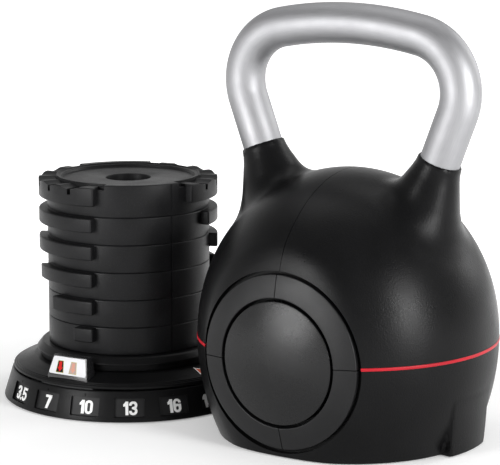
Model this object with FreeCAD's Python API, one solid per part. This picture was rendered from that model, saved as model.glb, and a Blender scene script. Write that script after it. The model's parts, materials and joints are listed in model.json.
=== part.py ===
"""Adjustable kettlebell: a hollow bell with a tube handle, six tabbed weight plates and a dial dock.

Units are millimetres.  +Z is up, +X runs along the handle from the dock to the bell, and the bell's
front disc faces -Y.  The origin is on the floor, at the middle of the overall box.
Every piece is modelled about its own upright axis and then moved to the bell's or the dock's axis.
"""
import FreeCAD
import Part
import math
import os

# ---------------------------------------------------------------- driving dimensions
TUBE_RADIUS = 16.75          # handle tube, outside
TUBE_WALL = 3.0
BALL_RADIUS = 125.6          # bell shell at its widest
EQUATOR_Z = 82.0             # height of the widest section, where the shells meet
BELL_TOP_Z = 222.0           # top of the shell between the horns
CROWN_POWER = 2.08           # 2 is an ellipse above the equator, more is fuller shoulders
BASE_RADIUS = 107.5          # bell shell at the floor
SHELL_WALL = 4.0
SHELL_BOTTOM_Z = 0.8
TRIM_RADIUS = 126.0          # red band, slightly proud of the shell
TRIM_HEIGHT = 2.8

HANDLE_TOP_Z = 341.2         # centreline of the tube at the middle of the grip
GRIP_HALF = 66.0             # half width of the gently arched grip
GRIP_RISE = 6.5              # how far the arch rises over that half width
CORNER_RADIUS = 46.0
LEG_LEAN_DEG = 21.0          # the legs lean inwards going down
HORN_TOP_Z = 235.3           # where the tube leaves the shell

DISC_Z = 78.4                # centre height of the round side discs
DISC_Y = 98.0                # floor of the disc's pocket, from the bell's axis
DISC_RADIUS = 71.9
DISC_THICKNESS = 6.0         # of the ring at its outer edge
RING_INNER_RADIUS = 52.4
RING_INNER_THICKNESS = 11.0  # the ring's face slopes up towards the cap
RING_TURN_DEG = 2.4          # the joints between the quadrants stand slightly off the square
CAP_RADIUS = 50.6
CAP_RISE = 8.0
POCKET_GAP = 2.5             # dark gap round the disc
PAN_WALL = 3.0

PLATE_COUNT = 6
PLATE_RADIUS = 71.3
TAB_RADIUS = 78.7
PLATE_HEIGHT = 24.0
TOP_PLATE_HEIGHT = 28.0
BORE_RADIUS = 19.8           # hole of the top plate
LOWER_BORE_RADIUS = 20.4     # holes of the plates below it
TAB_STEP_DEG = 20.0          # each plate's tabs are one step longer than those of the plate below
SHORTEST_TAB_DEG = 14.0
TAB_END_DEG = -77.0          # aligned end of the front tabs, from +X
TOP_TAB_END_DEG = -75.4      # the top plate's tabs start a little further round

DOCK_RADIUS = 112.0
DIAL_TOP_Z = 26.0
DIAL_TOP_RADIUS = 104.0
DIAL_WALL = 2.2
TURNTABLE_RADIUS = 103.0
TURNTABLE_Z = 37.0           # top of the turntable beside the stack
STACK_Z = 49.6               # underside of the lowest plate
DIAL_PITCH_DEG = 20.7
DIAL_END_DEG = -12.0         # direction of the last number, where the pointer rests
DIAL_NUMBERS = ["3.5", "7", "10", "13", "16", "19.5"]

AXIS_SPACING = 228.0         # bell axis to dock axis
BELL_X = (AXIS_SPACING + DOCK_RADIUS - TRIM_RADIUS) / 2
DOCK_X = BELL_X - AXIS_SPACING

# ---------------------------------------------------------------- bell details
CARRIER_Z = 170.0
CARRIER_THICKNESS = 4.0
CARRIER_TOP_Z = CARRIER_Z + CARRIER_THICKNESS
CARRIER_RADIUS = 86.0
CARRIER_POSTS = [(44.0, 52.0), (44.0, -52.0), (-44.0, 52.0), (-44.0, -52.0)]
POST_RADIUS = 6.0
JOIN_BOSS_R = 116.2          # ring of screw bosses at the equator
JOIN_BOSS_DEG = [-42.0, 0.0, 42.0, 138.0, 180.0, 222.0]
JOIN_BOSS_RADIUS = 6.0
JOIN_BOSS_HEIGHT = 17.0
FOOT_BOSS_R = 97.5           # screw bosses above the base ring
FOOT_BOSS_DEG = [35.0, 145.0, 215.0, 325.0]
RACK_INNER = 83.0
RACK_OUTER = 89.0
RACK_HALF_DEG = 6.0
LEDGE_INNER = 73.5
LEDGE_HEIGHT = 5.0
LEDGE_Z = 19.5               # underside of the lowest ledge
BASE_RING_INNER = 91.0
BASE_RING_OUTER = 104.0
BASE_RING_Z = 3.0
DISC_FLAT_Y = 94.5           # the base ring and pad stay inside this, clear of the disc pans
SIDE_PAD_RADIUS = 112.8      # locating pad low on the +X side
SIDE_PAD_DRAFT = 3.4
SIDE_PAD_HALF_DEG = 14.0
SIDE_PAD_Z = 24.0

# ---------------------------------------------------------------- plate details
PLATE_EASE = 1.0             # eased rims leave a groove between two plates
TAB_BOTTOM = 11.2            # underside of the tabs above the plate's underside
TOP_TAB_BOTTOM = 10.0
TAB_DROP = 0.6               # top of the tabs below the plate's top
CROWN_DROP = 1.8             # the same on the top plate, whose rim is cut down to its tabs
DISH_DEPTH = 3.6
DISH_RIM = 62.9              # inner edge of the top plate's rim
SLOT_WIDTH = 3.8             # slots that part the crown into one block per step
SLOT_DEPTH = 7.2
SLOT_LEAD_DEG = 2.0          # the slots stand this far before the ends of the tabs below
SCOOP_RADIUS = 27.5          # hollow in the crown's top at each slot
SCOOP_DEPTH = 2.3
STEP_DEG = 5.8               # open step beyond each end of the crown
STEP_DEPTH = 4.3
STEP_INNER = 66.0

# ---------------------------------------------------------------- dock details
HUB_RADIUS = 60.0
BEARING_RADIUS = 72.0
GLIDE_RADIUS = 64.0
GLIDE_Z = 29.0
GLIDE_TOP_Z = 36.6
RUNNING_CLEARANCE = 0.08
NECK_RADIUS = 79.0           # the seat's neck, between the turntable and the collar
NECK_BOTTOM_Z = 37.4
COLLAR_BOTTOM_Z = 43.0
COLLAR_RADIUS = 82.0
BASE_PLATE_Z = 2.4
BASE_TOP_Z = 5.0
BASE_PLATE_RADIUS = 108.2
WINDOW_WIDTH = 26.0
WINDOW_HEIGHT = 15.6
WINDOW_MID_Z = 12.6
DIGIT_HEIGHT = 11.0
DIGIT_PROUD = 0.5
FIGURE_DEPTH = 30.0          # figures are drawn standing in the XZ plane and reach this far along -Y
DIGIT_OFFSET = 1.2           # the figures stand a little right of the window's middle
BUTTON_DEG = -86.6
BUTTON_HALF_WIDTH = 20.5
BUTTON_TAPER = 3.3           # each side leans in by this much at the top
BUTTON_BACK_R = 83.6
BUTTON_FRONT_R = 97.4
BUTTON_SHOULDER_R = 92.2     # top of the sloping face
BUTTON_FOOT_Z = 33.0
BUTTON_TOP_Z = 50.8
LABEL_THICKNESS = 0.5
LOCK_PIN_R = 92.0            # place of the pin that drops into the lock ring's notches
LOCK_PIN_RADIUS = 4.0
POINTER_DEG = -11.0
SKIRT_SCREW_R = 105.2

UP = FreeCAD.Vector(0, 0, 1)
ORIGIN = FreeCAD.Vector(0, 0, 0)


# ---------------------------------------------------------------- helpers
def vec(x, y, z):
    return FreeCAD.Vector(x, y, z)


def polar(radius, degrees, z=0.0):
    angle = math.radians(degrees)
    return vec(radius * math.cos(angle), radius * math.sin(angle), z)


def face_of(points):
    return Part.Face(Part.makePolygon(points + points[:1]))


def turned(profile, start_deg=0.0, sweep_deg=360.0):
    """Solid of revolution about Z from (radius, z) corners, starting at start_deg."""
    face = face_of([vec(r, 0, z) for r, z in profile])
    face.rotate(ORIGIN, UP, start_deg)
    return face.revolve(ORIGIN, UP, sweep_deg)


def ring(inner, outer, bottom, top, start_deg=0.0, sweep_deg=360.0):
    return turned([(inner, bottom), (outer, bottom), (outer, top), (inner, top)], start_deg, sweep_deg)


def rod(radius, start, end):
    axis = end - start
    return Part.makeCylinder(radius, axis.Length, start, axis)


def block(x0, x1, y0, y1, z0, z1):
    return Part.makeBox(x1 - x0, y1 - y0, z1 - z0, vec(x0, y0, z0))


def turn_z(shape, degrees):
    copy = shape.copy()
    copy.rotate(ORIGIN, UP, degrees)
    return copy


def joined(shapes):
    return shapes[0].multiFuse(shapes[1:]).removeSplitter() if len(shapes) > 1 else shapes[0]


def cut_all(shape, tools):
    return shape.cut(Part.makeCompound(tools)) if tools else shape


def save(name, shapes, axis_x):
    """Write one node: its solids, moved to the bell's or the dock's axis."""
    solids = [solid for shape in shapes for solid in shape.Solids]
    body = Part.makeCompound([solid.copy() for solid in solids]) if len(solids) > 1 else solids[0].copy()
    body.translate(vec(axis_x, 0, 0))
    for solid in body.Solids:
        if not solid.isValid() or solid.Volume < 0.5:
            raise ValueError(name + " has an invalid or empty solid")
    body.exportStep("parts/" + name + ".step")
    print("%-24s solids %2d  volume %9.1f mm3" % (name, len(body.Solids), body.Volume))


def pan_screw(x, y, z, head_radius, shank_radius, shank_top, head_height=2.6):
    """Upright screw entering from below at (x, y), its head's top face at z."""
    head = rod(head_radius, vec(x, y, z - head_height), vec(x, y, z))
    recess = rod(head_radius * 0.4, vec(x, y, z - head_height), vec(x, y, z - head_height / 2))
    shank = rod(shank_radius, vec(x, y, z), vec(x, y, shank_top))
    return joined([head.cut(recess), shank])


# ---------------------------------------------------------------- bell: handle
def handle_path():
    """Centreline of the tube in the XZ plane: leg, corner, arched grip, corner, leg."""
    arch_radius = (GRIP_HALF ** 2 + GRIP_RISE ** 2) / (2 * GRIP_RISE)
    slope = math.asin(GRIP_HALF / arch_radius)
    corner_x = GRIP_HALF - CORNER_RADIUS * math.sin(slope)
    corner_z = HANDLE_TOP_Z - GRIP_RISE - CORNER_RADIUS * math.cos(slope)
    leg_turn = math.radians(90 + LEG_LEAN_DEG)
    middle_turn = (slope + leg_turn) / 2

    def on_corner(turn):
        return (corner_x + CORNER_RADIUS * math.sin(turn), corner_z + CORNER_RADIUS * math.cos(turn))

    leg_start = on_corner(leg_turn)
    corner_middle = on_corner(middle_turn)
    drop = leg_start[1] - (CARRIER_Z - TUBE_RADIUS)
    leg_end = (leg_start[0] - drop * math.tan(math.radians(LEG_LEAN_DEG)), CARRIER_Z - TUBE_RADIUS)
    grip_end = (GRIP_HALF, HANDLE_TOP_Z - GRIP_RISE)

    def point(pair, side):
        return vec(side * pair[0], 0, pair[1])

    edges = [Part.LineSegment(point(leg_end, -1), point(leg_start, -1)).toShape(),
             Part.Arc(point(leg_start, -1), point(corner_middle, -1), point(grip_end, -1)).toShape(),
             Part.Arc(point(grip_end, -1), vec(0, 0, HANDLE_TOP_Z), point(grip_end, 1)).toShape(),
             Part.Arc(point(grip_end, 1), point(corner_middle, 1), point(leg_start, 1)).toShape(),
             Part.LineSegment(point(leg_start, 1), point(leg_end, 1)).toShape()]
    return Part.Wire(edges)


def leg_line():
    """A point on the right leg's centreline at HORN_TOP_Z, and the leg's upward direction."""
    edge = handle_path().Edges[-1]
    top = edge.Vertexes[0].Point
    bottom = edge.Vertexes[-1].Point
    if top.z < bottom.z:
        top, bottom = bottom, top
    direction = (top - bottom).normalize()
    at_horn = bottom + direction * ((HORN_TOP_Z - bottom.z) / direction.z)
    return at_horn, direction


def mirrored_x(shape):
    return shape.mirror(ORIGIN, vec(1, 0, 0))


def swept(radius):
    path = handle_path()
    start = path.Edges[0].Vertexes[0].Point
    direction = path.Edges[0].tangentAt(path.Edges[0].FirstParameter)
    circle = Part.Wire(Part.makeCircle(radius, start, direction))
    return path.makePipeShell([circle], True, False)


def leg_point(z):
    at_horn, direction = leg_line()
    return at_horn + direction * ((z - HORN_TOP_Z) / direction.z)


def build_handle():
    above_carrier = block(-200, 200, -40, 40, CARRIER_TOP_Z, 400)
    tube = swept(TUBE_RADIUS).cut(swept(TUBE_RADIUS - TUBE_WALL)).common(above_carrier)
    save("handle_tube", [tube], BELL_X)

    direction = leg_line()[1]
    plug_radius = TUBE_RADIUS - TUBE_WALL
    bolt_x = leg_point(CARRIER_TOP_Z).x
    plug_start = leg_point(CARRIER_Z - 8)
    plug = rod(plug_radius, plug_start, plug_start + direction * 38).common(above_carrier)
    plug = plug.cut(rod(4.0, vec(bolt_x, 0, CARRIER_Z), vec(bolt_x, 0, CARRIER_Z + 24)))
    save("handle_plugs", [plug, mirrored_x(plug)], BELL_X)

    hexagon = [polar(7.5, 60 * k, CARRIER_Z - 5.2) + vec(bolt_x, 0, 0) for k in range(6)]
    head = face_of(hexagon).extrude(vec(0, 0, 4.0))
    shank = rod(3.92, vec(bolt_x, 0, CARRIER_Z - 1.2), vec(bolt_x, 0, CARRIER_Z + 23))
    bolt = joined([head, shank])
    washer = rod(9.0, vec(bolt_x, 0, CARRIER_Z - 1.2), vec(bolt_x, 0, CARRIER_Z)).cut(
        rod(4.2, vec(bolt_x, 0, CARRIER_Z - 3), vec(bolt_x, 0, CARRIER_Z + 1)))
    save("handle_bolts", [bolt, mirrored_x(bolt)], BELL_X)
    save("handle_washers", [washer, mirrored_x(washer)], BELL_X)


# ---------------------------------------------------------------- bell: shell
def upper_point(turn, inset):
    """Crowned upper profile: turn 0 is the equator and 90 degrees is the top."""
    rise = (BELL_TOP_Z - EQUATOR_Z - inset) * math.sin(turn) ** (2 / CROWN_POWER)
    return vec((BALL_RADIUS - inset) * math.cos(turn), 0, EQUATOR_Z + rise)


def lower_radius(z, inset):
    depth = max(0.0, min(1.0, (EQUATOR_Z - z) / EQUATOR_Z))
    return BASE_RADIUS + (BALL_RADIUS - BASE_RADIUS) * (1 - depth ** 2) - inset


def ball(inset, bottom_z):
    """The bell's round body, or its inside when inset is the wall thickness."""
    steps = 12
    upper = [upper_point(math.pi / 2 * k / steps, inset) for k in range(steps + 1)]
    lower_levels = [EQUATOR_Z * k / 6 for k in range(7)]
    lower = [vec(lower_radius(z, inset), 0, z) for z in lower_levels]
    upper_curve = Part.BSplineCurve()
    upper_curve.interpolate(upper)
    lower_curve = Part.BSplineCurve()
    lower_curve.interpolate(lower)
    foot = vec(lower[0].x, 0, bottom_z)
    edges = [Part.LineSegment(vec(0, 0, bottom_z), foot).toShape()]
    if bottom_z < 0:
        edges.append(Part.LineSegment(foot, lower[0]).toShape())
    edges += [lower_curve.toShape(), upper_curve.toShape(),
              Part.LineSegment(upper[-1], vec(0, 0, bottom_z)).toShape()]
    return Part.Face(Part.Wire(edges)).revolve(ORIGIN, UP, 360)


def horn(inset):
    """Flared root that carries the tube out of the shell on the +X side."""
    at_horn, direction = leg_line()
    sections = [(at_horn.x, HORN_TOP_Z, 18.2, LEG_LEAN_DEG),
                (82.5, 224.0, 20.6, 15.0),
                (78.0, 211.0, 25.5, 10.0),
                (72.0, 196.0, 31.5, 5.0),
                (66.5, 178.0, 33.0, 0.0),
                (58.0, 160.0, 33.0, 0.0)]
    if inset > 0:
        sections = sections[2:]
    wires = []
    for x, z, radius, lean in sections:
        normal = vec(math.sin(math.radians(lean)), 0, math.cos(math.radians(lean)))
        wires.append(Part.Wire(Part.makeCircle(radius - inset, vec(x, 0, z), normal)))
    return Part.makeLoft(wires, True, False)


def disc_cylinder(radius, near_y, far_y, side):
    return rod(radius, vec(0, side * near_y, DISC_Z), vec(0, side * far_y, DISC_Z))


def side_pad():
    """Locating pad with a nearly upright wall, low on the +X side."""
    profile = [(95, SHELL_BOTTOM_Z), (SIDE_PAD_RADIUS, SHELL_BOTTOM_Z),
               (SIDE_PAD_RADIUS + SIDE_PAD_DRAFT, SIDE_PAD_Z), (95, SIDE_PAD_Z)]
    return turned(profile, -SIDE_PAD_HALF_DEG, 2 * SIDE_PAD_HALF_DEG)


def whole_shell():
    outer = ball(0, 0)
    round_body = outer
    right_horn = horn(0)
    outer = joined([outer, right_horn, mirrored_x(right_horn), side_pad()])
    hollow_horn = horn(3.2)
    hollow = joined([ball(SHELL_WALL, -1), hollow_horn, mirrored_x(hollow_horn)])
    shell = outer.cut(hollow)

    pan_radius = DISC_RADIUS + POCKET_GAP + PAN_WALL
    pans = [disc_cylinder(pan_radius, DISC_Y - PAN_WALL, 135, side).common(round_body) for side in (-1, 1)]
    posts = [rod(POST_RADIUS, vec(x, y, CARRIER_TOP_Z), vec(x, y, 215)).common(round_body)
             for x, y in CARRIER_POSTS]
    join_bosses = [rod(JOIN_BOSS_RADIUS, polar(JOIN_BOSS_R, a, EQUATOR_Z - JOIN_BOSS_HEIGHT),
                       polar(JOIN_BOSS_R, a, EQUATOR_Z + JOIN_BOSS_HEIGHT)) for a in JOIN_BOSS_DEG]
    rib = block(BASE_RING_INNER + 1.5, 115, -5, 5, BASE_RING_Z + 3, BASE_RING_Z + 14).common(round_body)
    foot_ribs = [turn_z(rib, a) for a in FOOT_BOSS_DEG]
    shell = joined([shell] + pans + posts + join_bosses + foot_ribs)

    direction = leg_line()[1]
    start = leg_point(CARRIER_Z - 6)
    passage = rod(TUBE_RADIUS + 0.15, start, start + direction * 100)
    tools = [passage, mirrored_x(passage)]
    tools += [disc_cylinder(DISC_RADIUS + POCKET_GAP, DISC_Y, 135, side) for side in (-1, 1)]
    tools += [rod(1.8, vec(x, y, CARRIER_Z), vec(x, y, CARRIER_TOP_Z + 14)) for x, y in CARRIER_POSTS]
    tools += [rod(1.8, polar(JOIN_BOSS_R, a, 50), polar(JOIN_BOSS_R, a, EQUATOR_Z + 13))
              for a in JOIN_BOSS_DEG]
    tools += [rod(1.6, polar(FOOT_BOSS_R, a, 0), polar(FOOT_BOSS_R, a, BASE_RING_Z + 12))
              for a in FOOT_BOSS_DEG]
    for side in (-1, 1):
        tools += [rod(1.6, vec(x, side * 80, z), vec(x, side * 105, z)) for x, z in disc_screw_places()]
    groove_wall = BALL_RADIUS - SHELL_WALL + 1.2
    tools.append(ring(groove_wall, 140, EQUATOR_Z - TRIM_HEIGHT / 2, EQUATOR_Z + TRIM_HEIGHT / 2))
    tools.append(block(-160, 160, -160, 160, -20, SHELL_BOTTOM_Z))
    return cut_all(shell, tools)


def build_shell():
    shell = whole_shell()
    upper = shell.common(block(-160, 160, -160, 160, EQUATOR_Z, 300))
    save("upper_shell_right", [upper.common(block(0, 160, -160, 160, 0, 300))], BELL_X)
    save("upper_shell_left", [upper.common(block(-160, 0, -160, 160, 0, 300))], BELL_X)
    save("lower_shell", [shell.common(block(-160, 160, -160, 160, -5, EQUATOR_Z))], BELL_X)

    band = ring(BALL_RADIUS - SHELL_WALL + 1.2, TRIM_RADIUS,
                EQUATOR_Z - TRIM_HEIGHT / 2, EQUATOR_Z + TRIM_HEIGHT / 2)
    band = cut_all(band, [disc_cylinder(DISC_RADIUS + POCKET_GAP, 80, 135, side) for side in (-1, 1)])
    save("trim_band_right", [band.common(block(0, 160, -160, 160, 0, 200))], BELL_X)
    save("trim_band_left", [band.common(block(-160, 0, -160, 160, 0, 200))], BELL_X)

    screws = [pan_screw(polar(JOIN_BOSS_R, a).x, polar(JOIN_BOSS_R, a).y, EQUATOR_Z - JOIN_BOSS_HEIGHT,
                        3.6, 1.75, EQUATOR_Z + 12) for a in JOIN_BOSS_DEG]
    save("shell_screws", screws, BELL_X)


# ---------------------------------------------------------------- bell: side discs
def disc_screw_places():
    """(x, z) of the screws that hold a disc: four in the cap and one in each ring quadrant."""
    places = []
    for reach, offset in ((36.0, 0.0), (61.4, 45.0)):
        for k in range(4):
            angle = math.radians(offset + 90 * k)
            places.append((reach * math.cos(angle), DISC_Z + reach * math.sin(angle)))
    return places


def about_disc_axis(profile, start_deg, sweep_deg, side):
    """Turn (radius, outward) corners about the disc's axis, which points along Y."""
    face = face_of([vec(r, side * (DISC_Y + out), DISC_Z) for r, out in profile])
    centre = vec(0, 0, DISC_Z)
    face.rotate(centre, vec(0, 1, 0), -start_deg)
    return face.revolve(centre, vec(0, 1, 0), -sweep_deg)


def build_discs():
    edge = 0.7
    ring_profile = [(RING_INNER_RADIUS, 0), (DISC_RADIUS, 0), (DISC_RADIUS, DISC_THICKNESS - edge),
                    (DISC_RADIUS - edge, DISC_THICKNESS), (RING_INNER_RADIUS + edge, RING_INNER_THICKNESS),
                    (RING_INNER_RADIUS, RING_INNER_THICKNESS - edge)]
    split_deg = 0.5
    corner_names = ["upper_right", "upper_left", "lower_left", "lower_right"]
    for side, side_name in ((-1, "front"), (1, "rear")):
        pilot = Part.makeCompound([rod(1.5, vec(x, side * (DISC_Y - 4), z), vec(x, side * (DISC_Y + 2.2), z))
                                   for x, z in disc_screw_places()])
        for k, corner_name in enumerate(corner_names):
            start = 90 * k + split_deg / 2 - side * RING_TURN_DEG
            quadrant = about_disc_axis(ring_profile, start, 90 - split_deg, side)
            save(side_name + "_ring_" + corner_name, [quadrant.cut(pilot)], BELL_X)

        edge_y = DISC_Y + RING_INNER_THICKNESS - 0.6
        sphere = (CAP_RADIUS ** 2 + CAP_RISE ** 2) / (2 * CAP_RISE)
        half_turn = math.asin(CAP_RADIUS / sphere) / 2
        half_y = edge_y + CAP_RISE - sphere * (1 - math.cos(half_turn))
        cap_edge = vec(CAP_RADIUS, side * edge_y, DISC_Z)
        cap_half = vec(sphere * math.sin(half_turn), side * half_y, DISC_Z)
        cap_peak = vec(0, side * (edge_y + CAP_RISE), DISC_Z)
        back_edge = vec(CAP_RADIUS, side * DISC_Y, DISC_Z)
        back_middle = vec(0, side * DISC_Y, DISC_Z)
        outline = Part.Wire([Part.Arc(cap_edge, cap_half, cap_peak).toShape(),
                             Part.LineSegment(cap_peak, back_middle).toShape(),
                             Part.LineSegment(back_middle, back_edge).toShape(),
                             Part.LineSegment(back_edge, cap_edge).toShape()])
        cap = Part.Face(outline).revolve(vec(0, 0, DISC_Z), vec(0, 1, 0), 360)
        save(side_name + "_cap", [cap.cut(pilot)], BELL_X)

        inner_face = DISC_Y - PAN_WALL
        screws = []
        for x, z in disc_screw_places():
            head = rod(3.0, vec(x, side * (inner_face - 2.2), z), vec(x, side * inner_face, z))
            shank = rod(1.45, vec(x, side * inner_face, z), vec(x, side * (DISC_Y + 2.1), z))
            screws.append(joined([head, shank]))
        save(side_name + "_disc_screws", screws, BELL_X)


# ---------------------------------------------------------------- bell: carrier and hook racks
def rack_screw_places():
    places = []
    for base in (0.0, 180.0):
        places += [polar(78.5, base - 7.0), polar(78.5, base + 7.0)]
    return places


def build_carrier():
    bolt_x = leg_point(CARRIER_TOP_Z).x
    plate = ring(15.0, CARRIER_RADIUS, CARRIER_Z, CARRIER_TOP_Z)
    holes = [rod(4.2, vec(side * bolt_x, 0, 160), vec(side * bolt_x, 0, 180)) for side in (-1, 1)]
    holes += [rod(2.6, vec(x, y, 160), vec(x, y, 180)) for x, y in CARRIER_POSTS]
    holes += [rod(1.9, place + vec(0, 0, 160), place + vec(0, 0, 180)) for place in rack_screw_places()]
    save("carrier_plate", [cut_all(plate, holes)], BELL_X)

    screws = [pan_screw(x, y, CARRIER_Z, 4.5, 1.75, CARRIER_TOP_Z + 13) for x, y in CARRIER_POSTS]
    save("carrier_screws", screws, BELL_X)

    flange_z = CARRIER_Z - 4.0
    bar = ring(RACK_INNER, RACK_OUTER, LEDGE_Z, CARRIER_Z, -RACK_HALF_DEG, 2 * RACK_HALF_DEG)
    flange = ring(74.5, RACK_OUTER, flange_z, CARRIER_Z, -10, 20)
    ledges = [ring(LEDGE_INNER, RACK_INNER + 1, LEDGE_Z + PLATE_HEIGHT * k,
                   LEDGE_Z + PLATE_HEIGHT * k + LEDGE_HEIGHT, -RACK_HALF_DEG, 2 * RACK_HALF_DEG)
              for k in range(PLATE_COUNT)]
    rack = joined([bar, flange] + ledges)
    rack = cut_all(rack, [rod(2.3, place + vec(0, 0, 160), place + vec(0, 0, 172))
                          for place in rack_screw_places()[:2]])
    save("hook_rack_right", [rack], BELL_X)
    save("hook_rack_left", [turn_z(rack, 180)], BELL_X)
    screws = [pan_screw(place.x, place.y, flange_z, 3.4, 1.85, CARRIER_TOP_Z, 2.0)
              for place in rack_screw_places()]
    save("rack_screws", screws, BELL_X)

    inside_flats = block(-120, 120, -DISC_FLAT_Y, DISC_FLAT_Y, -5, 20)
    base_ring = ring(BASE_RING_INNER, BASE_RING_OUTER, BASE_RING_Z, BASE_RING_Z + 3).common(inside_flats)
    screw_holes = [rod(1.8, polar(FOOT_BOSS_R, a, 0), polar(FOOT_BOSS_R, a, 10)) for a in FOOT_BOSS_DEG]
    save("base_ring", [cut_all(base_ring, screw_holes)], BELL_X)
    pad = ring(BASE_RING_INNER + 1, 103.0, 0, BASE_RING_Z).common(inside_flats)
    head_wells = [rod(3.6, polar(FOOT_BOSS_R, a, -1), polar(FOOT_BOSS_R, a, 10)) for a in FOOT_BOSS_DEG]
    save("rim_pad", [cut_all(pad, head_wells)], BELL_X)
    screws = [pan_screw(polar(FOOT_BOSS_R, a).x, polar(FOOT_BOSS_R, a).y, BASE_RING_Z, 3.0, 1.5,
                        BASE_RING_Z + 11, 2.0) for a in FOOT_BOSS_DEG]
    save("base_ring_screws", screws, BELL_X)


# ---------------------------------------------------------------- weight plates
def plate_tabs(end_deg, length_deg, bottom, top):
    """Two opposite arcs that stand out of the plate, with eased edges."""
    ease = 0.8
    profile = [(PLATE_RADIUS - 3, bottom), (TAB_RADIUS - ease, bottom), (TAB_RADIUS, bottom + ease),
               (TAB_RADIUS, top - ease), (TAB_RADIUS - ease, top), (PLATE_RADIUS - 3, top)]
    return [turned(profile, end_deg + base - length_deg, length_deg) for base in (0, 180)]


def plate_body(height, is_lowest, is_top):
    bore = BORE_RADIUS if is_top else LOWER_BORE_RADIUS
    profile = [(bore, 0), (PLATE_RADIUS - PLATE_EASE, 0), (PLATE_RADIUS, PLATE_EASE),
               (PLATE_RADIUS, height - PLATE_EASE), (PLATE_RADIUS - PLATE_EASE, height), (bore, height)]
    body = turned(profile)
    key_width = 2.0
    key_line = block(PLATE_RADIUS - 0.5, PLATE_RADIUS + 2, -key_width / 2, key_width / 2, -1, height + 1)
    cuts = [turn_z(key_line, -22.0)]
    if not is_lowest:
        cuts.append(ring(40.0, 56.0, -1, 2.0))
    body = cut_all(body, cuts)
    if is_top:
        floor = height - DISH_DEPTH
        dish = turned([(0, floor), (58.0, floor), (58.8, height - 1.2), (DISH_RIM - 0.7, height - 1.2),
                       (DISH_RIM + 0.5, height + 1), (0, height + 1)])
        return body.cut(dish)
    nest = turned([(40.5, height - 0.5), (55.5, height - 0.5), (55.5, height + 1.2), (55.0, height + 1.7),
                   (41.0, height + 1.7), (40.5, height + 1.2)])
    return joined([body, nest])


def crown_cuts(height, length_deg):
    """Tools that turn the top plate's tabs into a crown of blocks, stepped down from the rim beside it."""
    top = height - CROWN_DROP
    cuts = []
    for base in (0, 180):
        end = TOP_TAB_END_DEG + base
        start = end - length_deg
        cuts.append(ring(DISH_RIM, 90, top, height + 1, start - STEP_DEG, length_deg + 2 * STEP_DEG))
        for step_start in (start - STEP_DEG, end):
            cuts.append(ring(STEP_INNER, 90, height - STEP_DEPTH, height + 1, step_start, STEP_DEG))
        for k in range(1, PLATE_COUNT):
            angle = end - TAB_STEP_DEG * k + SLOT_LEAD_DEG
            slot = block(DISH_RIM, 90, -SLOT_WIDTH / 2, SLOT_WIDTH / 2, top - SLOT_DEPTH, height + 2)
            axis_z = top - SCOOP_DEPTH + SCOOP_RADIUS
            scoop = rod(SCOOP_RADIUS, vec(DISH_RIM, 0, axis_z), vec(90, 0, axis_z))
            cuts += [turn_z(slot, angle), turn_z(scoop, angle)]
    return cuts


def build_plates():
    bottom = STACK_Z
    for k in range(PLATE_COUNT):
        is_top = k == PLATE_COUNT - 1
        height = TOP_PLATE_HEIGHT if is_top else PLATE_HEIGHT
        length_deg = SHORTEST_TAB_DEG + TAB_STEP_DEG * k
        if is_top:
            tabs = plate_tabs(TOP_TAB_END_DEG, length_deg, TOP_TAB_BOTTOM, height - CROWN_DROP)
        else:
            tabs = plate_tabs(TAB_END_DEG, length_deg, TAB_BOTTOM, height - TAB_DROP)
        plate = joined([plate_body(height, k == 0, is_top)] + tabs)
        if is_top:
            plate = cut_all(plate, crown_cuts(height, length_deg))
        plate.translate(vec(0, 0, bottom))
        save("weight_plate_%d" % (k + 1), [plate], DOCK_X)
        bottom += height


# ---------------------------------------------------------------- dock: dial numerals
def bar(x0, x1, z0, z1):
    return block(x0, x1, -FIGURE_DEPTH, 0, z0, z1)


def prism_of(corners):
    return face_of([vec(x, 0, z) for x, z in corners]).extrude(vec(0, -FIGURE_DEPTH, 0))


def rounded_bar(x0, x1, z0, z1, radius):
    pieces = [bar(x0 + radius, x1 - radius, z0, z1), bar(x0, x1, z0 + radius, z1 - radius)]
    for x in (x0 + radius, x1 - radius):
        for z in (z0 + radius, z1 - radius):
            pieces.append(rod(radius, vec(x, 0, z), vec(x, -FIGURE_DEPTH, z)))
    return joined(pieces)


def bowl(x0, x1, z0, z1, stroke):
    """Bold closed loop with a narrow counter, as in 0 and the round parts of 3, 6 and 9."""
    radius = 0.48 * min(x1 - x0, z1 - z0)
    inner_radius = 0.44 * (x1 - x0 - 2 * stroke)
    edge = 0.85 * stroke
    return rounded_bar(x0, x1, z0, z1, radius).cut(
        rounded_bar(x0 + stroke, x1 - stroke, z0 + edge, z1 - edge, inner_radius))


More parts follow.
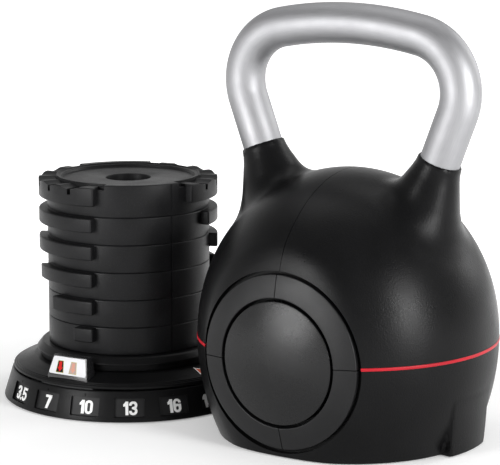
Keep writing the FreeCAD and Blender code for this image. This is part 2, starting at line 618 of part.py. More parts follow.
def digit(symbol, height, wide):
    """Bold condensed figure standing on z = 0 from x = 0, and the advance to the next one."""
    stroke = 0.2 * height
    gap = 0.055 * height
    if symbol == ".":
        return bar(0, 0.19 * height, 0, 0.18 * height), 0.19 * height + gap
    if symbol == "1":
        stem = bar(0.16 * height, 0.39 * height, 0, height)
        flag = prism_of([(0, 0.78 * height), (0, 0.62 * height), (0.2 * height, 0.68 * height),
                         (0.2 * height, height)])
        return joined([stem, flag]), 0.39 * height + gap
    if symbol == "7":
        leg = prism_of([(0.1 * height, 0), (0.35 * height, 0), (wide, 0.84 * height), (wide, height),
                        (0.34 * height, 0.84 * height)])
        return joined([bar(0, wide, 0.82 * height, height), leg]), wide + gap
    if symbol == "0":
        return bowl(0, wide, 0, height, stroke), wide + gap
    if symbol == "3":
        both = joined([bowl(0, wide, 0.44 * height, height, stroke),
                       bowl(0, wide, 0, 0.58 * height, stroke)])
        opening = bar(-1, 0.45 * wide, 0.32 * height, 0.7 * height)
        tongue = bar(0.34 * wide, 0.6 * wide, 0.44 * height, 0.58 * height)
        return joined([both.cut(opening), tongue]), wide + gap
    if symbol == "5":
        lower = bowl(0, wide, 0, 0.66 * height, stroke)
        lower = lower.cut(bar(-1, stroke + 0.2, 0.28 * height, 0.42 * height))
        top = bar(0.03 * height, 0.95 * wide, 0.82 * height, height)
        stem = bar(0.03 * height, 0.03 * height + stroke, 0.42 * height, 0.9 * height)
        return joined([lower, top, stem]), wide + gap
    tall = bowl(0, wide, 0, height, stroke)
    tall = tall.cut(bar(0.5 * wide, wide + 1, 0.6 * height, 0.7 * height))
    figure = joined([tall, bowl(0, wide, 0, 0.62 * height, stroke)])
    if symbol == "9":
        figure.rotate(vec(wide / 2, 0, height / 2), vec(0, 1, 0), 180)
    return figure, wide + gap


def dial_radius(z, inset=0.0):
    share = (DIAL_TOP_Z - z) / (DIAL_TOP_Z - SHELL_BOTTOM_Z)
    return DIAL_TOP_RADIUS + (DOCK_RADIUS - DIAL_TOP_RADIUS) * share - inset


def dial_cone(outer_inset, inner_inset, bottom, top):
    return turned([(dial_radius(bottom, inner_inset), bottom), (dial_radius(bottom, outer_inset), bottom),
                   (dial_radius(top, outer_inset), top), (dial_radius(top, inner_inset), top)])


def number_angles():
    count = len(DIAL_NUMBERS)
    return [DIAL_END_DEG - DIAL_PITCH_DEG * (count - 1 - k) for k in range(count)]


def numeral_solids(text, angle_deg):
    """Figures that reach outward through the dial wall in the given direction."""
    wide = 0.54 * DIGIT_HEIGHT if len(text) > 3 else 0.64 * DIGIT_HEIGHT
    figures = []
    cursor = 0.0
    for symbol in text:
        figure, advance = digit(symbol, DIGIT_HEIGHT, wide)
        figure.translate(vec(cursor, 0, 0))
        figures.append(figure)
        cursor += advance
    shift = DIGIT_OFFSET - cursor / 2
    for figure in figures:
        figure.translate(vec(shift, -92, WINDOW_MID_Z - DIGIT_HEIGHT / 2 - 0.6))
        figure.rotate(ORIGIN, UP, 90 + angle_deg)
    return figures


# ---------------------------------------------------------------- dock
def window_tool(angle_deg, width, height, inner):
    tool = block(inner, 130, -width / 2, width / 2, WINDOW_MID_Z - height / 2, WINDOW_MID_Z + height / 2)
    return turn_z(tool, angle_deg)


def skirt_screw_places():
    """Six screws, all in the part of the skirt that has no windows."""
    return [polar(SKIRT_SCREW_R, 10 + 43 * k) for k in range(6)]


def seat_screw_places():
    return [polar(50.0, 45 + 90 * k) for k in range(4)]


def build_dial():
    skirt = dial_cone(0, DIAL_WALL, SHELL_BOTTOM_Z, DIAL_TOP_Z)
    inside_cone = dial_cone(0, 30, SHELL_BOTTOM_Z, DIAL_TOP_Z)
    flange = ring(101.6, 110, DIAL_TOP_Z - 2.4, DIAL_TOP_Z).common(inside_cone)
    bosses = [rod(3.6, place + vec(0, 0, BASE_TOP_Z), place + vec(0, 0, 17)).common(inside_cone)
              for place in skirt_screw_places()]
    skirt = joined([skirt, flange] + bosses)
    windows = [window_tool(a, WINDOW_WIDTH, WINDOW_HEIGHT, 103) for a in number_angles()]
    ticks = [turn_z(block(dial_radius(22.5) - 0.4, 120, -0.5, 0.5, 21.4, 24.6), a) for a in number_angles()]
    pilots = [rod(1.5, place, place + vec(0, 0, 14)) for place in skirt_screw_places()]
    save("dial_skirt", [cut_all(skirt, windows + ticks + pilots)], DOCK_X)

    strip_margin_deg = 9.0
    first, last = number_angles()[0], number_angles()[-1]
    reach = ring(90, 130, BASE_TOP_Z + 0.2, 21.0, first - strip_margin_deg,
                 last - first + 2 * strip_margin_deg)
    strip = dial_cone(DIAL_WALL, DIAL_WALL + 1.0, 1, DIAL_TOP_Z - 1).common(reach)
    save("dial_strip", [strip], DOCK_X)
    raised = dial_cone(DIAL_WALL - DIGIT_PROUD, DIAL_WALL, 1, DIAL_TOP_Z - 1)
    figures = []
    for text, angle in zip(DIAL_NUMBERS, number_angles()):
        figures += [raised.common(solid) for solid in numeral_solids(text, angle)]
    save("dial_numerals", figures, DOCK_X)


def build_base():
    plate = ring(0, BASE_PLATE_RADIUS, BASE_PLATE_Z, BASE_TOP_Z)
    holes = [rod(1.8, place, place + vec(0, 0, 10)) for place in skirt_screw_places()]
    holes += [rod(2.4, place, place + vec(0, 0, 10)) for place in seat_screw_places()]
    save("base_plate", [cut_all(plate, holes)], DOCK_X)
    screws = [pan_screw(place.x, place.y, BASE_PLATE_Z, 3.0, 1.45, 13.5, 1.6)
              for place in skirt_screw_places()]
    save("skirt_screws", screws, DOCK_X)
    feet = [rod(9.0, polar(80, 60 * k, 0), polar(80, 60 * k, BASE_PLATE_Z)) for k in range(6)]
    save("dock_feet", feet, DOCK_X)
    save("bearing_hub", [ring(HUB_RADIUS, BEARING_RADIUS, BASE_TOP_Z, GLIDE_Z)], DOCK_X)
    glide = turned([(HUB_RADIUS, GLIDE_Z), (BEARING_RADIUS, GLIDE_Z), (BEARING_RADIUS, GLIDE_Z + 2.7),
                    (GLIDE_RADIUS, GLIDE_Z + 2.7), (GLIDE_RADIUS, GLIDE_TOP_Z), (HUB_RADIUS, GLIDE_TOP_Z)])
    save("glide_ring", [glide], DOCK_X)

    seat = turned([(0, BASE_TOP_Z), (HUB_RADIUS, BASE_TOP_Z), (HUB_RADIUS, NECK_BOTTOM_Z),
                   (NECK_RADIUS, NECK_BOTTOM_Z), (NECK_RADIUS, COLLAR_BOTTOM_Z),
                   (COLLAR_RADIUS, COLLAR_BOTTOM_Z), (COLLAR_RADIUS, COLLAR_BOTTOM_Z + 1.2),
                   (78.6, STACK_Z - 1.2), (77.2, STACK_Z), (0, STACK_Z)])
    seat = seat.cut(ring(14.0, 42.0, BASE_TOP_Z - 1, STACK_Z - 6))
    pilots = [rod(2.0, place, place + vec(0, 0, 20)) for place in seat_screw_places()]
    save("stack_seat", [cut_all(seat, pilots)], DOCK_X)
    screws = [pan_screw(place.x, place.y, BASE_PLATE_Z, 4.0, 1.95, 19, 1.8) for place in seat_screw_places()]
    save("seat_screws", screws, DOCK_X)
    spigot_radius = LOWER_BORE_RADIUS - 0.5
    spigot = turned([(0, STACK_Z), (spigot_radius, STACK_Z), (spigot_radius, STACK_Z + 8),
                     (spigot_radius - 1.5, STACK_Z + 10), (0, STACK_Z + 10)])
    save("centre_spigot", [spigot], DOCK_X)

    pin_angles = [a - DIAL_END_DEG + BUTTON_DEG for a in number_angles()]
    notches = [rod(LOCK_PIN_RADIUS + 0.6, polar(LOCK_PIN_R, a, 0), polar(LOCK_PIN_R, a, 15))
               for a in pin_angles]
    lock_ring = ring(BEARING_RADIUS, 90.5, BASE_TOP_Z, BASE_TOP_Z + 3)
    save("lock_ring", [cut_all(lock_ring, notches)], DOCK_X)


# ---------------------------------------------------------------- dock: turntable
TURNTABLE_TOP = [(84.5, TURNTABLE_Z), (93, 33.9), (99.7, 31.8), (100.0, 31.0),
                 (101.2, 31.0), (101.5, 30.3), (102.6, 30.1), (TURNTABLE_RADIUS, 29.4)]
TURNTABLE_UNDER = [(TURNTABLE_RADIUS, DIAL_TOP_Z + 1.4), (99, DIAL_TOP_Z + 1.4), (92, 29.2), (84, 31.8)]


def button_local(shape):
    """Turn a shape modelled on the +X side to the button's direction."""
    return turn_z(shape, BUTTON_DEG)


def button_slot(gap):
    return block(BUTTON_BACK_R - gap, BUTTON_FRONT_R + gap, -BUTTON_HALF_WIDTH - gap,
                 BUTTON_HALF_WIDTH + gap, 12.2, 60)


def pointer_prism(shrink):
    """Upright triangular prism at the index mark; its tip points in towards the plates."""
    tip = vec(-7.5 + 1.9 * shrink, 0, 20)
    tail_x = 5.5 - shrink
    half = 8.0 - 1.8 * shrink
    prism = face_of([tip, vec(tail_x, half, 20), vec(tail_x, -half, 20)]).extrude(vec(0, 0, 40))
    prism.rotate(ORIGIN, UP, 24)
    prism.translate(vec(92.2, 0, 0))
    return turn_z(prism, POINTER_DEG)


def build_turntable():
    bore = GLIDE_RADIUS + RUNNING_CLEARANCE
    disc = turned([(bore, TURNTABLE_Z)] + TURNTABLE_TOP + TURNTABLE_UNDER + [(bore, 31.8)])
    screw_places = [polar(86.0, BUTTON_DEG + 15.6 * side) for side in (-1, 1)]
    pilots = [rod(1.2, place + vec(0, 0, 20), place + vec(0, 0, 33.0)) for place in screw_places]
    save("turntable", [cut_all(disc, [button_local(button_slot(0.5))] + pilots)], DOCK_X)

    layer = 0.15
    decal = turned([(r, z) for r, z in TURNTABLE_TOP[:3]]
                   + [(r, z + layer) for r, z in TURNTABLE_TOP[2::-1]])
    outer_mark = decal.common(pointer_prism(0))
    save("pointer_border", [outer_mark.cut(pointer_prism(1))], DOCK_X)
    save("pointer_fill", [decal.common(pointer_prism(1))], DOCK_X)

    under_disc = turned([(70, 5), (101, 5), (101, DIAL_TOP_Z + 1.4), (99, DIAL_TOP_Z + 1.4), (92, 29.2),
                         (84, 31.8), (70, 31.8)])
    guide = block(BUTTON_BACK_R - 2, 110, -BUTTON_HALF_WIDTH - 6, BUTTON_HALF_WIDTH + 6, 10.8, 40)
    guide = button_local(guide).common(under_disc)
    pin_centre = polar(LOCK_PIN_R, BUTTON_DEG)
    holes = [button_local(button_slot(0.5)),
             rod(LOCK_PIN_RADIUS + 0.3, pin_centre, pin_centre + vec(0, 0, 30))]
    holes += [rod(1.5, place, place + vec(0, 0, 40)) for place in screw_places]
    save("button_guide", [cut_all(guide, holes)], DOCK_X)
    screws = [pan_screw(place.x, place.y, 10.8, 2.6, 1.15, 32.5, 1.4) for place in screw_places]
    save("guide_screws", screws, DOCK_X)


SLOPE_FOOT = vec(BUTTON_FRONT_R, 0, BUTTON_FOOT_Z)
SLOPE_TOP = vec(BUTTON_SHOULDER_R, 0, BUTTON_TOP_Z)
SLOPE_LENGTH = (SLOPE_TOP - SLOPE_FOOT).Length


def slope_point(along, out, across):
    """Point on the button's sloping face: up the slope, out from it, and to the right."""
    up_slope = (SLOPE_TOP - SLOPE_FOOT).normalize()
    outward = vec(up_slope.z, 0, -up_slope.x)
    return SLOPE_FOOT + up_slope * along + outward * out + vec(0, across, 0)


def on_slope(outline, base, thickness):
    """Thin plate on the button's face from (across, along) corners."""
    face = face_of([slope_point(along, base, across) for across, along in outline])
    outward = slope_point(0, 1, 0) - slope_point(0, 0, 0)
    return button_local(face.extrude(outward * thickness))


def build_button():
    bottom = 24.0
    ease = 0.8
    side_view = face_of([vec(BUTTON_BACK_R, 0, bottom), vec(BUTTON_FRONT_R, 0, bottom), SLOPE_FOOT,
                         SLOPE_TOP, vec(BUTTON_BACK_R + ease, 0, BUTTON_TOP_Z),
                         vec(BUTTON_BACK_R, 0, BUTTON_TOP_Z - ease)])
    wedge = side_view.extrude(vec(0, 60, 0))
    wedge.translate(vec(0, -30, 0))
    half = BUTTON_HALF_WIDTH
    half_top = half - BUTTON_TAPER
    front_view = face_of([vec(80, -half, bottom), vec(80, half, bottom), vec(80, half, BUTTON_FOOT_Z),
                          vec(80, half_top, BUTTON_TOP_Z), vec(80, -half_top, BUTTON_TOP_Z),
                          vec(80, -half, BUTTON_FOOT_Z)])
    button = wedge.common(front_view.extrude(vec(40, 0, 0)))
    save("lock_button", [button_local(button)], DOCK_X)

    margin = 1.1
    label = [(margin - half_top, SLOPE_LENGTH - margin), (half_top - margin, SLOPE_LENGTH - margin),
             (half - margin, 2 * margin), (margin - half, 2 * margin)]
    save("button_label", [on_slope(label, 0, LABEL_THICKNESS)], DOCK_X)
    plates = []
    arrows = []
    for centre in (-8.2, 5.2):
        plate = [(centre - 4.0, 3.6), (centre + 4.0, 3.6), (centre + 2.8, 14.0), (centre - 2.8, 14.0)]
        arrow = [(centre, 4.5), (centre + 2.7, 8.2), (centre + 1.4, 8.2), (centre + 1.4, 13.0),
                 (centre - 1.4, 13.0), (centre - 1.4, 8.2), (centre - 2.7, 8.2)]
        plates.append(on_slope(plate, LABEL_THICKNESS, 0.12))
        arrows.append(on_slope(arrow, LABEL_THICKNESS + 0.12, 0.12))
    save("icon_plates", plates, DOCK_X)
    save("icon_arrows", arrows, DOCK_X)

    pin_centre = polar(LOCK_PIN_R, BUTTON_DEG)
    pin = rod(LOCK_PIN_RADIUS, pin_centre + vec(0, 0, 9.6), pin_centre + vec(0, 0, 24))
    save("lock_pin", [pin], DOCK_X)
    wire = 0.45
    pitch, turns = 2.17, 5
    coil_radius = LOCK_PIN_RADIUS + 1.3
    bottom = 12.2 + wire
    helix = Part.makeHelix(pitch, turns * pitch, coil_radius)
    helix.translate(vec(0, 0, bottom))
    outer, inner = vec(coil_radius + wire, 0, bottom), vec(coil_radius - wire, 0, bottom)
    upper = Part.Arc(outer, vec(coil_radius, 0, bottom + wire), inner).toShape()
    lower = Part.Arc(inner, vec(coil_radius, 0, bottom - wire), outer).toShape()
    spring = Part.Wire(helix.Edges).makePipeShell([Part.Wire([upper, lower])], True, True)
    spring.translate(pin_centre)
    save("button_spring", [spring], DOCK_X)


def main():
    os.makedirs("parts", exist_ok=True)
    build_handle()
    build_shell()
    build_discs()
    build_carrier()
    build_plates()
    build_dial()
    build_base()
    build_turntable()
    build_button()


main()
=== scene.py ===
"""Looks of the adjustable kettlebell: smooth shells, turned parts and procedural materials on the frame.

Sizes below are in millimetres, each piece about its own upright axis, and are turned into metres when a
mesh is made.  The bell's axis and the dock's axis are read from the frame.
"""
import bpy
import bmesh
import json
import math
import numpy as np
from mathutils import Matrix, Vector


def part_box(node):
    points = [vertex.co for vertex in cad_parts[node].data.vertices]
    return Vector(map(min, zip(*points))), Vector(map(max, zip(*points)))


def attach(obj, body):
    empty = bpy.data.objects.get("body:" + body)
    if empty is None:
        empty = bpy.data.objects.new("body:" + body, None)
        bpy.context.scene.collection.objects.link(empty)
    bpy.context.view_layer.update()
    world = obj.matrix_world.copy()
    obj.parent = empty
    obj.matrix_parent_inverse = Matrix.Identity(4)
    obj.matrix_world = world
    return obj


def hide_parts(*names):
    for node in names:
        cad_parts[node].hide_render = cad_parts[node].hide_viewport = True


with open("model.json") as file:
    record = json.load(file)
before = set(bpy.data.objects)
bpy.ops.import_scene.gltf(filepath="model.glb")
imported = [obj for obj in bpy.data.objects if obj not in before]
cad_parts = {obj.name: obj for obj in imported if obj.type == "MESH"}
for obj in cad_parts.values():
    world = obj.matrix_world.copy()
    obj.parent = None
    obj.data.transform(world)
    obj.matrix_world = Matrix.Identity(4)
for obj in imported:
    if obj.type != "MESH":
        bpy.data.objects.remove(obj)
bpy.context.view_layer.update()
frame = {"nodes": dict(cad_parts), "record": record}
NODES = frame["nodes"]
SCENE = bpy.context.scene
MM = 0.001


def middle_x(node):
    low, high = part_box(node)
    return (low.x + high.x) / 2


BELL_X = middle_x("front_cap")
DOCK_X = middle_x("base_plate")

# ------------------------------------------------------------------ sizes of the bell
# the round body: widest at the equator, crowned above it, drawn in to the foot below it
BALL_RADIUS, EQUATOR_Z, CROWN = 125.6, 82.0, 140.0
CROWN_POWER = 2.08
FOOT_RADIUS = 107.5
SHELL_WALL = 4.0
SHELL_BOTTOM = 0.8
SHELL_SEAM = 0.22
BAND_RADIUS, BAND_HALF, BAND_PLAY = 126.0, 1.4, 0.05
GROOVE_FLOOR = BALL_RADIUS - SHELL_WALL + 1.2

# the horns: LEG_X and HORN_TOP are where a tube leg enters, LEAN is its slope from upright, and a horn has
# the radii HORN_RADII at the depths HORN_REACH below its top
LEAN = math.radians(21.0)
LEG_X, HORN_TOP = 85.5, 235.3
HORN_BLEND = 14.0
HORN_REACH = [-30, 0, 6, 12, 26, 42, 61, 90]
HORN_RADII = [18.1, 18.3, 19.0, 20.6, 25.6, 31.6, 37.0, 42.0]

# the flat pad low on the right side
PAD_HALF = math.radians(14.0)
PAD_RADIUS, PAD_SLOPE, PAD_TOP = 118.0, 0.08, 46.0

# the discs: DISC_Y is the pocket's floor, a ring segment is thicker at its inner edge
DISC_Z, DISC_Y, DISC_RADIUS, DISC_THICKNESS = 78.4, 98.0, 71.9, 6.0
POCKET_RADIUS = DISC_RADIUS + 2.5
PAN_WALL = 3.0
FAIRING_SLOPE, FAIRING_BLEND = 0.25, 4.0
RING_INNER, RING_INNER_THICKNESS, RING_TURN, RING_SPLIT = 52.4, 11.0, 2.4, 0.62
CAP_RADIUS, CAP_RISE, CAP_SINK = 50.3, 8.0, 0.6

# screw posts, bosses and foot ribs inside the shell
POST_X, POST_Y, POST_RADIUS, POST_FOOT = 44.0, 52.0, 6.0, 174.0
BOSS_CIRCLE, BOSS_RADIUS, BOSS_HALF = 116.2, 6.0, 17.0
BOSS_ANGLES = (-42.0, 0.0, 42.0, 138.0, 180.0, 222.0)
RIB_INNER, RIB_HALF_WIDTH, RIB_Z, RIB_HALF_HEIGHT = 92.5, 5.0, 11.5, 5.5
RIB_ANGLES = (35.0, 145.0, 215.0, 325.0)

# the handle tube: a shallow arch, two corners and two straight legs down to the tube's feet
TUBE_RADIUS, TUBE_PLAY = 16.75, 0.25
GRIP_HALF, GRIP_RISE, CORNER, GRIP_TOP = 66.0, 6.5, 46.0, 341.2
TUBE_FOOT_Z = 181.0

# ------------------------------------------------------------------ sizes of the plates
PLATE_RADIUS, TAB_RADIUS = 71.3, 78.7
BORE_RADIUS, LOWER_BORE_RADIUS = 19.8, 20.4
NEST_INNER, NEST_OUTER, NEST_PLAY = 40.5, 55.5, 0.5
NEST_HEIGHT, NEST_DEPTH = 1.7, 2.0
PLATE_EASE = 1.1
TAB_END, TOP_TAB_END, TAB_STEP, SHORTEST_TAB = -77.0, -75.4, 20.0, 14.0
TAB_BOTTOM, TOP_TAB_BOTTOM = 11.2, 10.0
TAB_DROP, CROWN_DROP = 0.6, 1.8
DISH_RIM, DISH_DEPTH = 62.9, 3.6
SLOT_WIDTH, SLOT_DEPTH, SLOT_LEAD = 3.8, 7.2, 2.0
SCOOP_RADIUS, SCOOP_DEPTH = 27.5, 2.3
STEP_ARC, STEP_DEPTH, STEP_INNER = 5.8, 4.3, 66.0
MARK_DEG, MARK_HALF, MARK_DEPTH = -22.0, 1.0, 0.5
PAST_TABS = 90.0
PLATES = 6

# ------------------------------------------------------------------ sizes of the dock
DOCK_RADIUS, DIAL_TOP_RADIUS, DIAL_TOP, SKIRT_WALL = 112.0, 104.0, 26.0, 2.2
LIP_RADIUS, LIP_DEPTH = 101.6, 2.4
DIAL_PITCH, DIAL_END, NUMBERS = 20.7, -12.0, 6
WINDOW_WIDTH, WINDOW_HEIGHT, WINDOW_Z = 26.0, 15.6, 12.6
TICK_HALF, TICK_INNER, TICK_LOW, TICK_HIGH = 0.45, 104.7, 21.4, 24.4
SEAT_FOOT, SEAT_FOOT_RADIUS, SEAT_LEDGE, SEAT_NECK, SEAT_SHOULDER = 5.0, 60.0, 37.4, 79.0, 43.0
TURNTABLE_BORE, TURNTABLE_TOP = 64.08, 37.0
BUTTON_DEG, BUTTON_HALF, BUTTON_TAPER, BUTTON_GAP = -86.6, 20.5, 3.3, 0.5
BUTTON_BACK, BUTTON_FRONT, BUTTON_SHOULDER = 83.6, 97.4, 92.2
BUTTON_FOOT_Z, BUTTON_TOP_Z = 33.0, 50.8

# ------------------------------------------------------------------ camera and light
CAMERA_ROW = 34.0            # the camera's right, in degrees about the upright axis
CAMERA_RIGHT, CAMERA_AWAY, CAMERA_HEIGHT = -81.7, -1830.0, 508.0
CAMERA_PITCH, LENS_MM, SENSOR_MM = 10.53, 162.0, 36.0
FLOOR_GLOW = 0.25            # how much of the white ground is its own light beside the object
GLOW_NEAR, GLOW_FAR = 0.25, 0.9
WORLD_LIGHT = 0.35           # the plain level of light from all round
CEILING = 0.35               # how bright the studio overhead looks in a reflection
LAMP_TARGET = (-90, 0, 130)
LAMPS = [
    ("key", (1080, -1120, 560), (0.4, 0.9), 23.0),
    ("left_front", (-1220, -900, 460), (0.5, 0.65), 14.0),
    ("right_back", (1200, 700, 900), (0.5, 1.2), 8.0),
    ("overhead", (-50, 450, 1600), (1.4, 1.0), 6.0),
]


# ------------------------------------------------------------------ mesh helpers
def new_object(name, mesh, body, material, replaced=()):
    """A visible piece on a body, in place of the CAD nodes that it replaces."""
    obj = bpy.data.objects.new(name, mesh)
    SCENE.collection.objects.link(obj)
    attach(obj, body)
    if replaced:
        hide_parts(*replaced)
    mesh.materials.clear()
    mesh.materials.append(material)
    return obj


def mesh_from(name, verts, faces, axis_x=0.0):
    """Mesh in metres from vertices in millimetres about an upright axis at axis_x metres."""
    placed = np.asarray(verts, float) * MM + np.array([axis_x, 0.0, 0.0])
    mesh = bpy.data.meshes.new(name)
    mesh.from_pydata(placed.tolist(), [], [list(map(int, f)) for f in faces])
    mesh.validate()
    return mesh


def shade(mesh, angle_deg=35.0):
    """Smooth shading with the edges sharper than the angle left crisp."""
    for poly in mesh.polygons:
        poly.use_smooth = True
    mesh.set_sharp_from_angle(angle=math.radians(angle_deg))


def temporary(mesh):
    obj = bpy.data.objects.new("tmp", mesh)
    SCENE.collection.objects.link(obj)
    return obj


def baked(obj):
    """The object's mesh with its modifiers applied, as a new mesh."""
    bpy.context.view_layer.update()
    return bpy.data.meshes.new_from_object(obj.evaluated_get(bpy.context.evaluated_depsgraph_get()))


def facing_out(mesh, merge=0.0):
    """The closed mesh with its faces turned outward, after merging vertices nearer than merge metres."""
    loose = bmesh.new()
    loose.from_mesh(mesh)
    if merge:
        bmesh.ops.remove_doubles(loose, verts=loose.verts, dist=merge)
    bmesh.ops.recalc_face_normals(loose, faces=loose.faces)
    loose.to_mesh(mesh)
    loose.free()
    return mesh


def boolean(mesh, cutter_mesh, operation):
    """Result of one boolean as a new mesh; both inputs are closed meshes in the same frame."""
    target, cutter = temporary(mesh), temporary(cutter_mesh)
    step = target.modifiers.new("b", "BOOLEAN")
    step.operation = operation
    step.solver = "MANIFOLD"
    step.object = cutter
    result = baked(target)
    for obj in (target, cutter):
        bpy.data.objects.remove(obj)
    return result


def rounded(corners, radius, steps=4):
    """Closed (radius, z) outline with every corner eased; a third value is a corner's own radius."""
    outline = []
    nearly_straight = 1.55
    most_of_side = 0.45
    count = len(corners)
    for i, corner in enumerate(corners):
        here = np.array(corner[:2], float)
        ease = corner[2] if len(corner) > 2 else radius
        before = np.array(corners[i - 1][:2], float) - here
        after = np.array(corners[(i + 1) % count][:2], float) - here
        reach_before, reach_after = np.linalg.norm(before), np.linalg.norm(after)
        before, after = before / reach_before, after / reach_after
        half = math.acos(float(np.clip(before @ after, -1, 1))) / 2
        if ease <= 0 or half > nearly_straight:
            outline.append(here)
            continue
        setback = min(ease / math.tan(half), most_of_side * reach_before, most_of_side * reach_after)
        ease = setback * math.tan(half)
        centre = here + (before + after) / np.linalg.norm(before + after) * (ease / math.sin(half))
        start, end = here + before * setback - centre, here + after * setback - centre
        sweep = math.atan2(start[0] * end[1] - start[1] * end[0], float(start @ end))
        for k in range(steps + 1):
            turn = sweep * k / steps
            cos, sin = math.cos(turn), math.sin(turn)
            turned = [cos * start[0] - sin * start[1], sin * start[0] + cos * start[1]]
            outline.append(centre + np.array(turned))
    return [tuple(p) for p in outline]


def lathe(name, outline, axis_x, start_deg=0.0, sweep_deg=360.0, segments=192):
    """Closed outline turned about the upright axis, with flat ends when the sweep is partial."""
    whole = abs(sweep_deg - 360.0) < 1e-6
    rings = segments if whole else max(2, int(segments * sweep_deg / 360.0)) + 1
    verts, faces = [], []
    count = len(outline)
    for k in range(rings):
        turn = math.radians(start_deg + sweep_deg * k / (segments if whole else rings - 1))
        cos, sin = math.cos(turn), math.sin(turn)
        verts += [(r * cos, r * sin, z) for r, z in outline]
    for k in range(rings if whole else rings - 1):
        after = (k + 1) % rings
        for i in range(count):
            j = (i + 1) % count
            faces.append((k * count + i, k * count + j, after * count + j, after * count + i))
    if not whole:
        faces.append(tuple(range(count - 1, -1, -1)))
        faces.append(tuple((rings - 1) * count + i for i in range(count)))
    return facing_out(mesh_from(name, verts, faces, axis_x), 1e-7)


def stood_about_disc(mesh, side):
    """Turns a lathe mesh made about Z so that its axis is the disc's: +Z becomes outward on that side."""
    for vertex in mesh.vertices:
        x, y, z = vertex.co
        out = y if side < 0 else -y
        vertex.co = (x + BELL_X, side * (z + DISC_Y * MM), out + DISC_Z * MM)
    return mesh


def box_mesh(x0, x1, y0, y1, z0, z1, axis_x, turn_deg=0.0):
    cos, sin = math.cos(math.radians(turn_deg)), math.sin(math.radians(turn_deg))
    corners = [(x, y, z) for z in (z0, z1) for y in (y0, y1) for x in (x0, x1)]
    verts = [(cos * x - sin * y, sin * x + cos * y, z) for x, y, z in corners]
    faces = [(0, 2, 3, 1), (4, 5, 7, 6), (0, 1, 5, 4), (2, 6, 7, 3), (0, 4, 6, 2), (1, 3, 7, 5)]
    return mesh_from("box", verts, faces, axis_x)


def rod_mesh(radius, start, end, axis_x, segments=96):
    """Closed cylinder between two points in millimetres."""
    start, end = Vector(start), Vector(end)
    along = (end - start).normalized()
    side = along.orthogonal().normalized()
    other = along.cross(side)
    verts = []
    for point in (start, end):
        for k in range(segments):
            turn = 2 * math.pi * k / segments
            verts.append(tuple(point + radius * (math.cos(turn) * side + math.sin(turn) * other)))
    faces = [(k, (k + 1) % segments, segments + (k + 1) % segments, segments + k) for k in range(segments)]
    faces += [tuple(range(segments - 1, -1, -1)), tuple(range(segments, 2 * segments))]
    return mesh_from("rod", verts, faces, axis_x)


# ------------------------------------------------------------------ smooth shell surface
def soft_min(a, b, k):
    h = np.clip(0.5 + 0.5 * (b - a) / k, 0, 1)
    return b * (1 - h) + a * h - k * h * (1 - h)


def soft_max(a, b, k):
    return -soft_min(-a, -b, k)


def ball_field(r, z):
    """Near-distance to the round body: crowned above the equator, drawn in below it."""
    height = np.clip((z - EQUATOR_Z) / CROWN, 0, None)
    value = (r / BALL_RADIUS) ** 2 + height ** CROWN_POWER - 1
    steepness = CROWN_POWER * height ** (CROWN_POWER - 1) / CROWN
    slope = np.sqrt((2 * r / BALL_RADIUS ** 2) ** 2 + steepness ** 2)
    upper = value / np.maximum(slope, 2e-3)
    depth = np.clip((EQUATOR_Z - z) / EQUATOR_Z, 0, None)
    bulge = BALL_RADIUS - FOOT_RADIUS
    lower = (r - FOOT_RADIUS - bulge * (1 - depth ** 2)) / np.sqrt(1 + (2 * bulge * depth / EQUATOR_Z) ** 2)
    return np.where(z > EQUATOR_Z, upper, lower)


def horn_field(x, y, z):
    """Flared root round the tube's leg, ending square to it."""
    dx, dz = np.abs(x) - LEG_X, z - HORN_TOP
    below = -(dx * math.sin(LEAN) + dz * math.cos(LEAN))
    across = dx * math.cos(LEAN) - dz * math.sin(LEAN)
    radius = np.interp(below, HORN_REACH, HORN_RADII)
    return soft_max(np.sqrt(across ** 2 + y ** 2) - radius, -below, 2.0)


def pad_field(x, y, z, r):
    """Flat pad low on the right side, wider than the drawn-in foot."""
    wall = r - (PAD_RADIUS + PAD_SLOPE * z)
    side = np.abs(y) * math.cos(PAD_HALF) - x * math.sin(PAD_HALF)
    return soft_max(soft_max(wall, side, 1.5), z - PAD_TOP, 2.0)


def disc_fairing(x, y, z):
    """Shallow cone that lets the shell run flush into the discs, above and below them."""
    beyond = np.hypot(x, z - DISC_Z) - POCKET_RADIUS
    edge = DISC_Y + DISC_THICKNESS + 0.2
    return (np.abs(y) - (edge - FAIRING_SLOPE * beyond)) / math.hypot(1, FAIRING_SLOPE)


def body_field(points):
    """Round body with its two horns, softly blended, and eased down round the discs."""
    x, y, z = points[:, 0], points[:, 1], points[:, 2]
    body = soft_min(ball_field(np.hypot(x, y), z), horn_field(x, y, z), HORN_BLEND)
    return soft_max(body, disc_fairing(x, y, z), FAIRING_BLEND)


def outer_field(points):
    x, y, z = points[:, 0], points[:, 1], points[:, 2]
    outer = soft_min(body_field(points), pad_field(x, y, z, np.hypot(x, y)), 2.5)
    return np.maximum(outer, -2.5 - z)


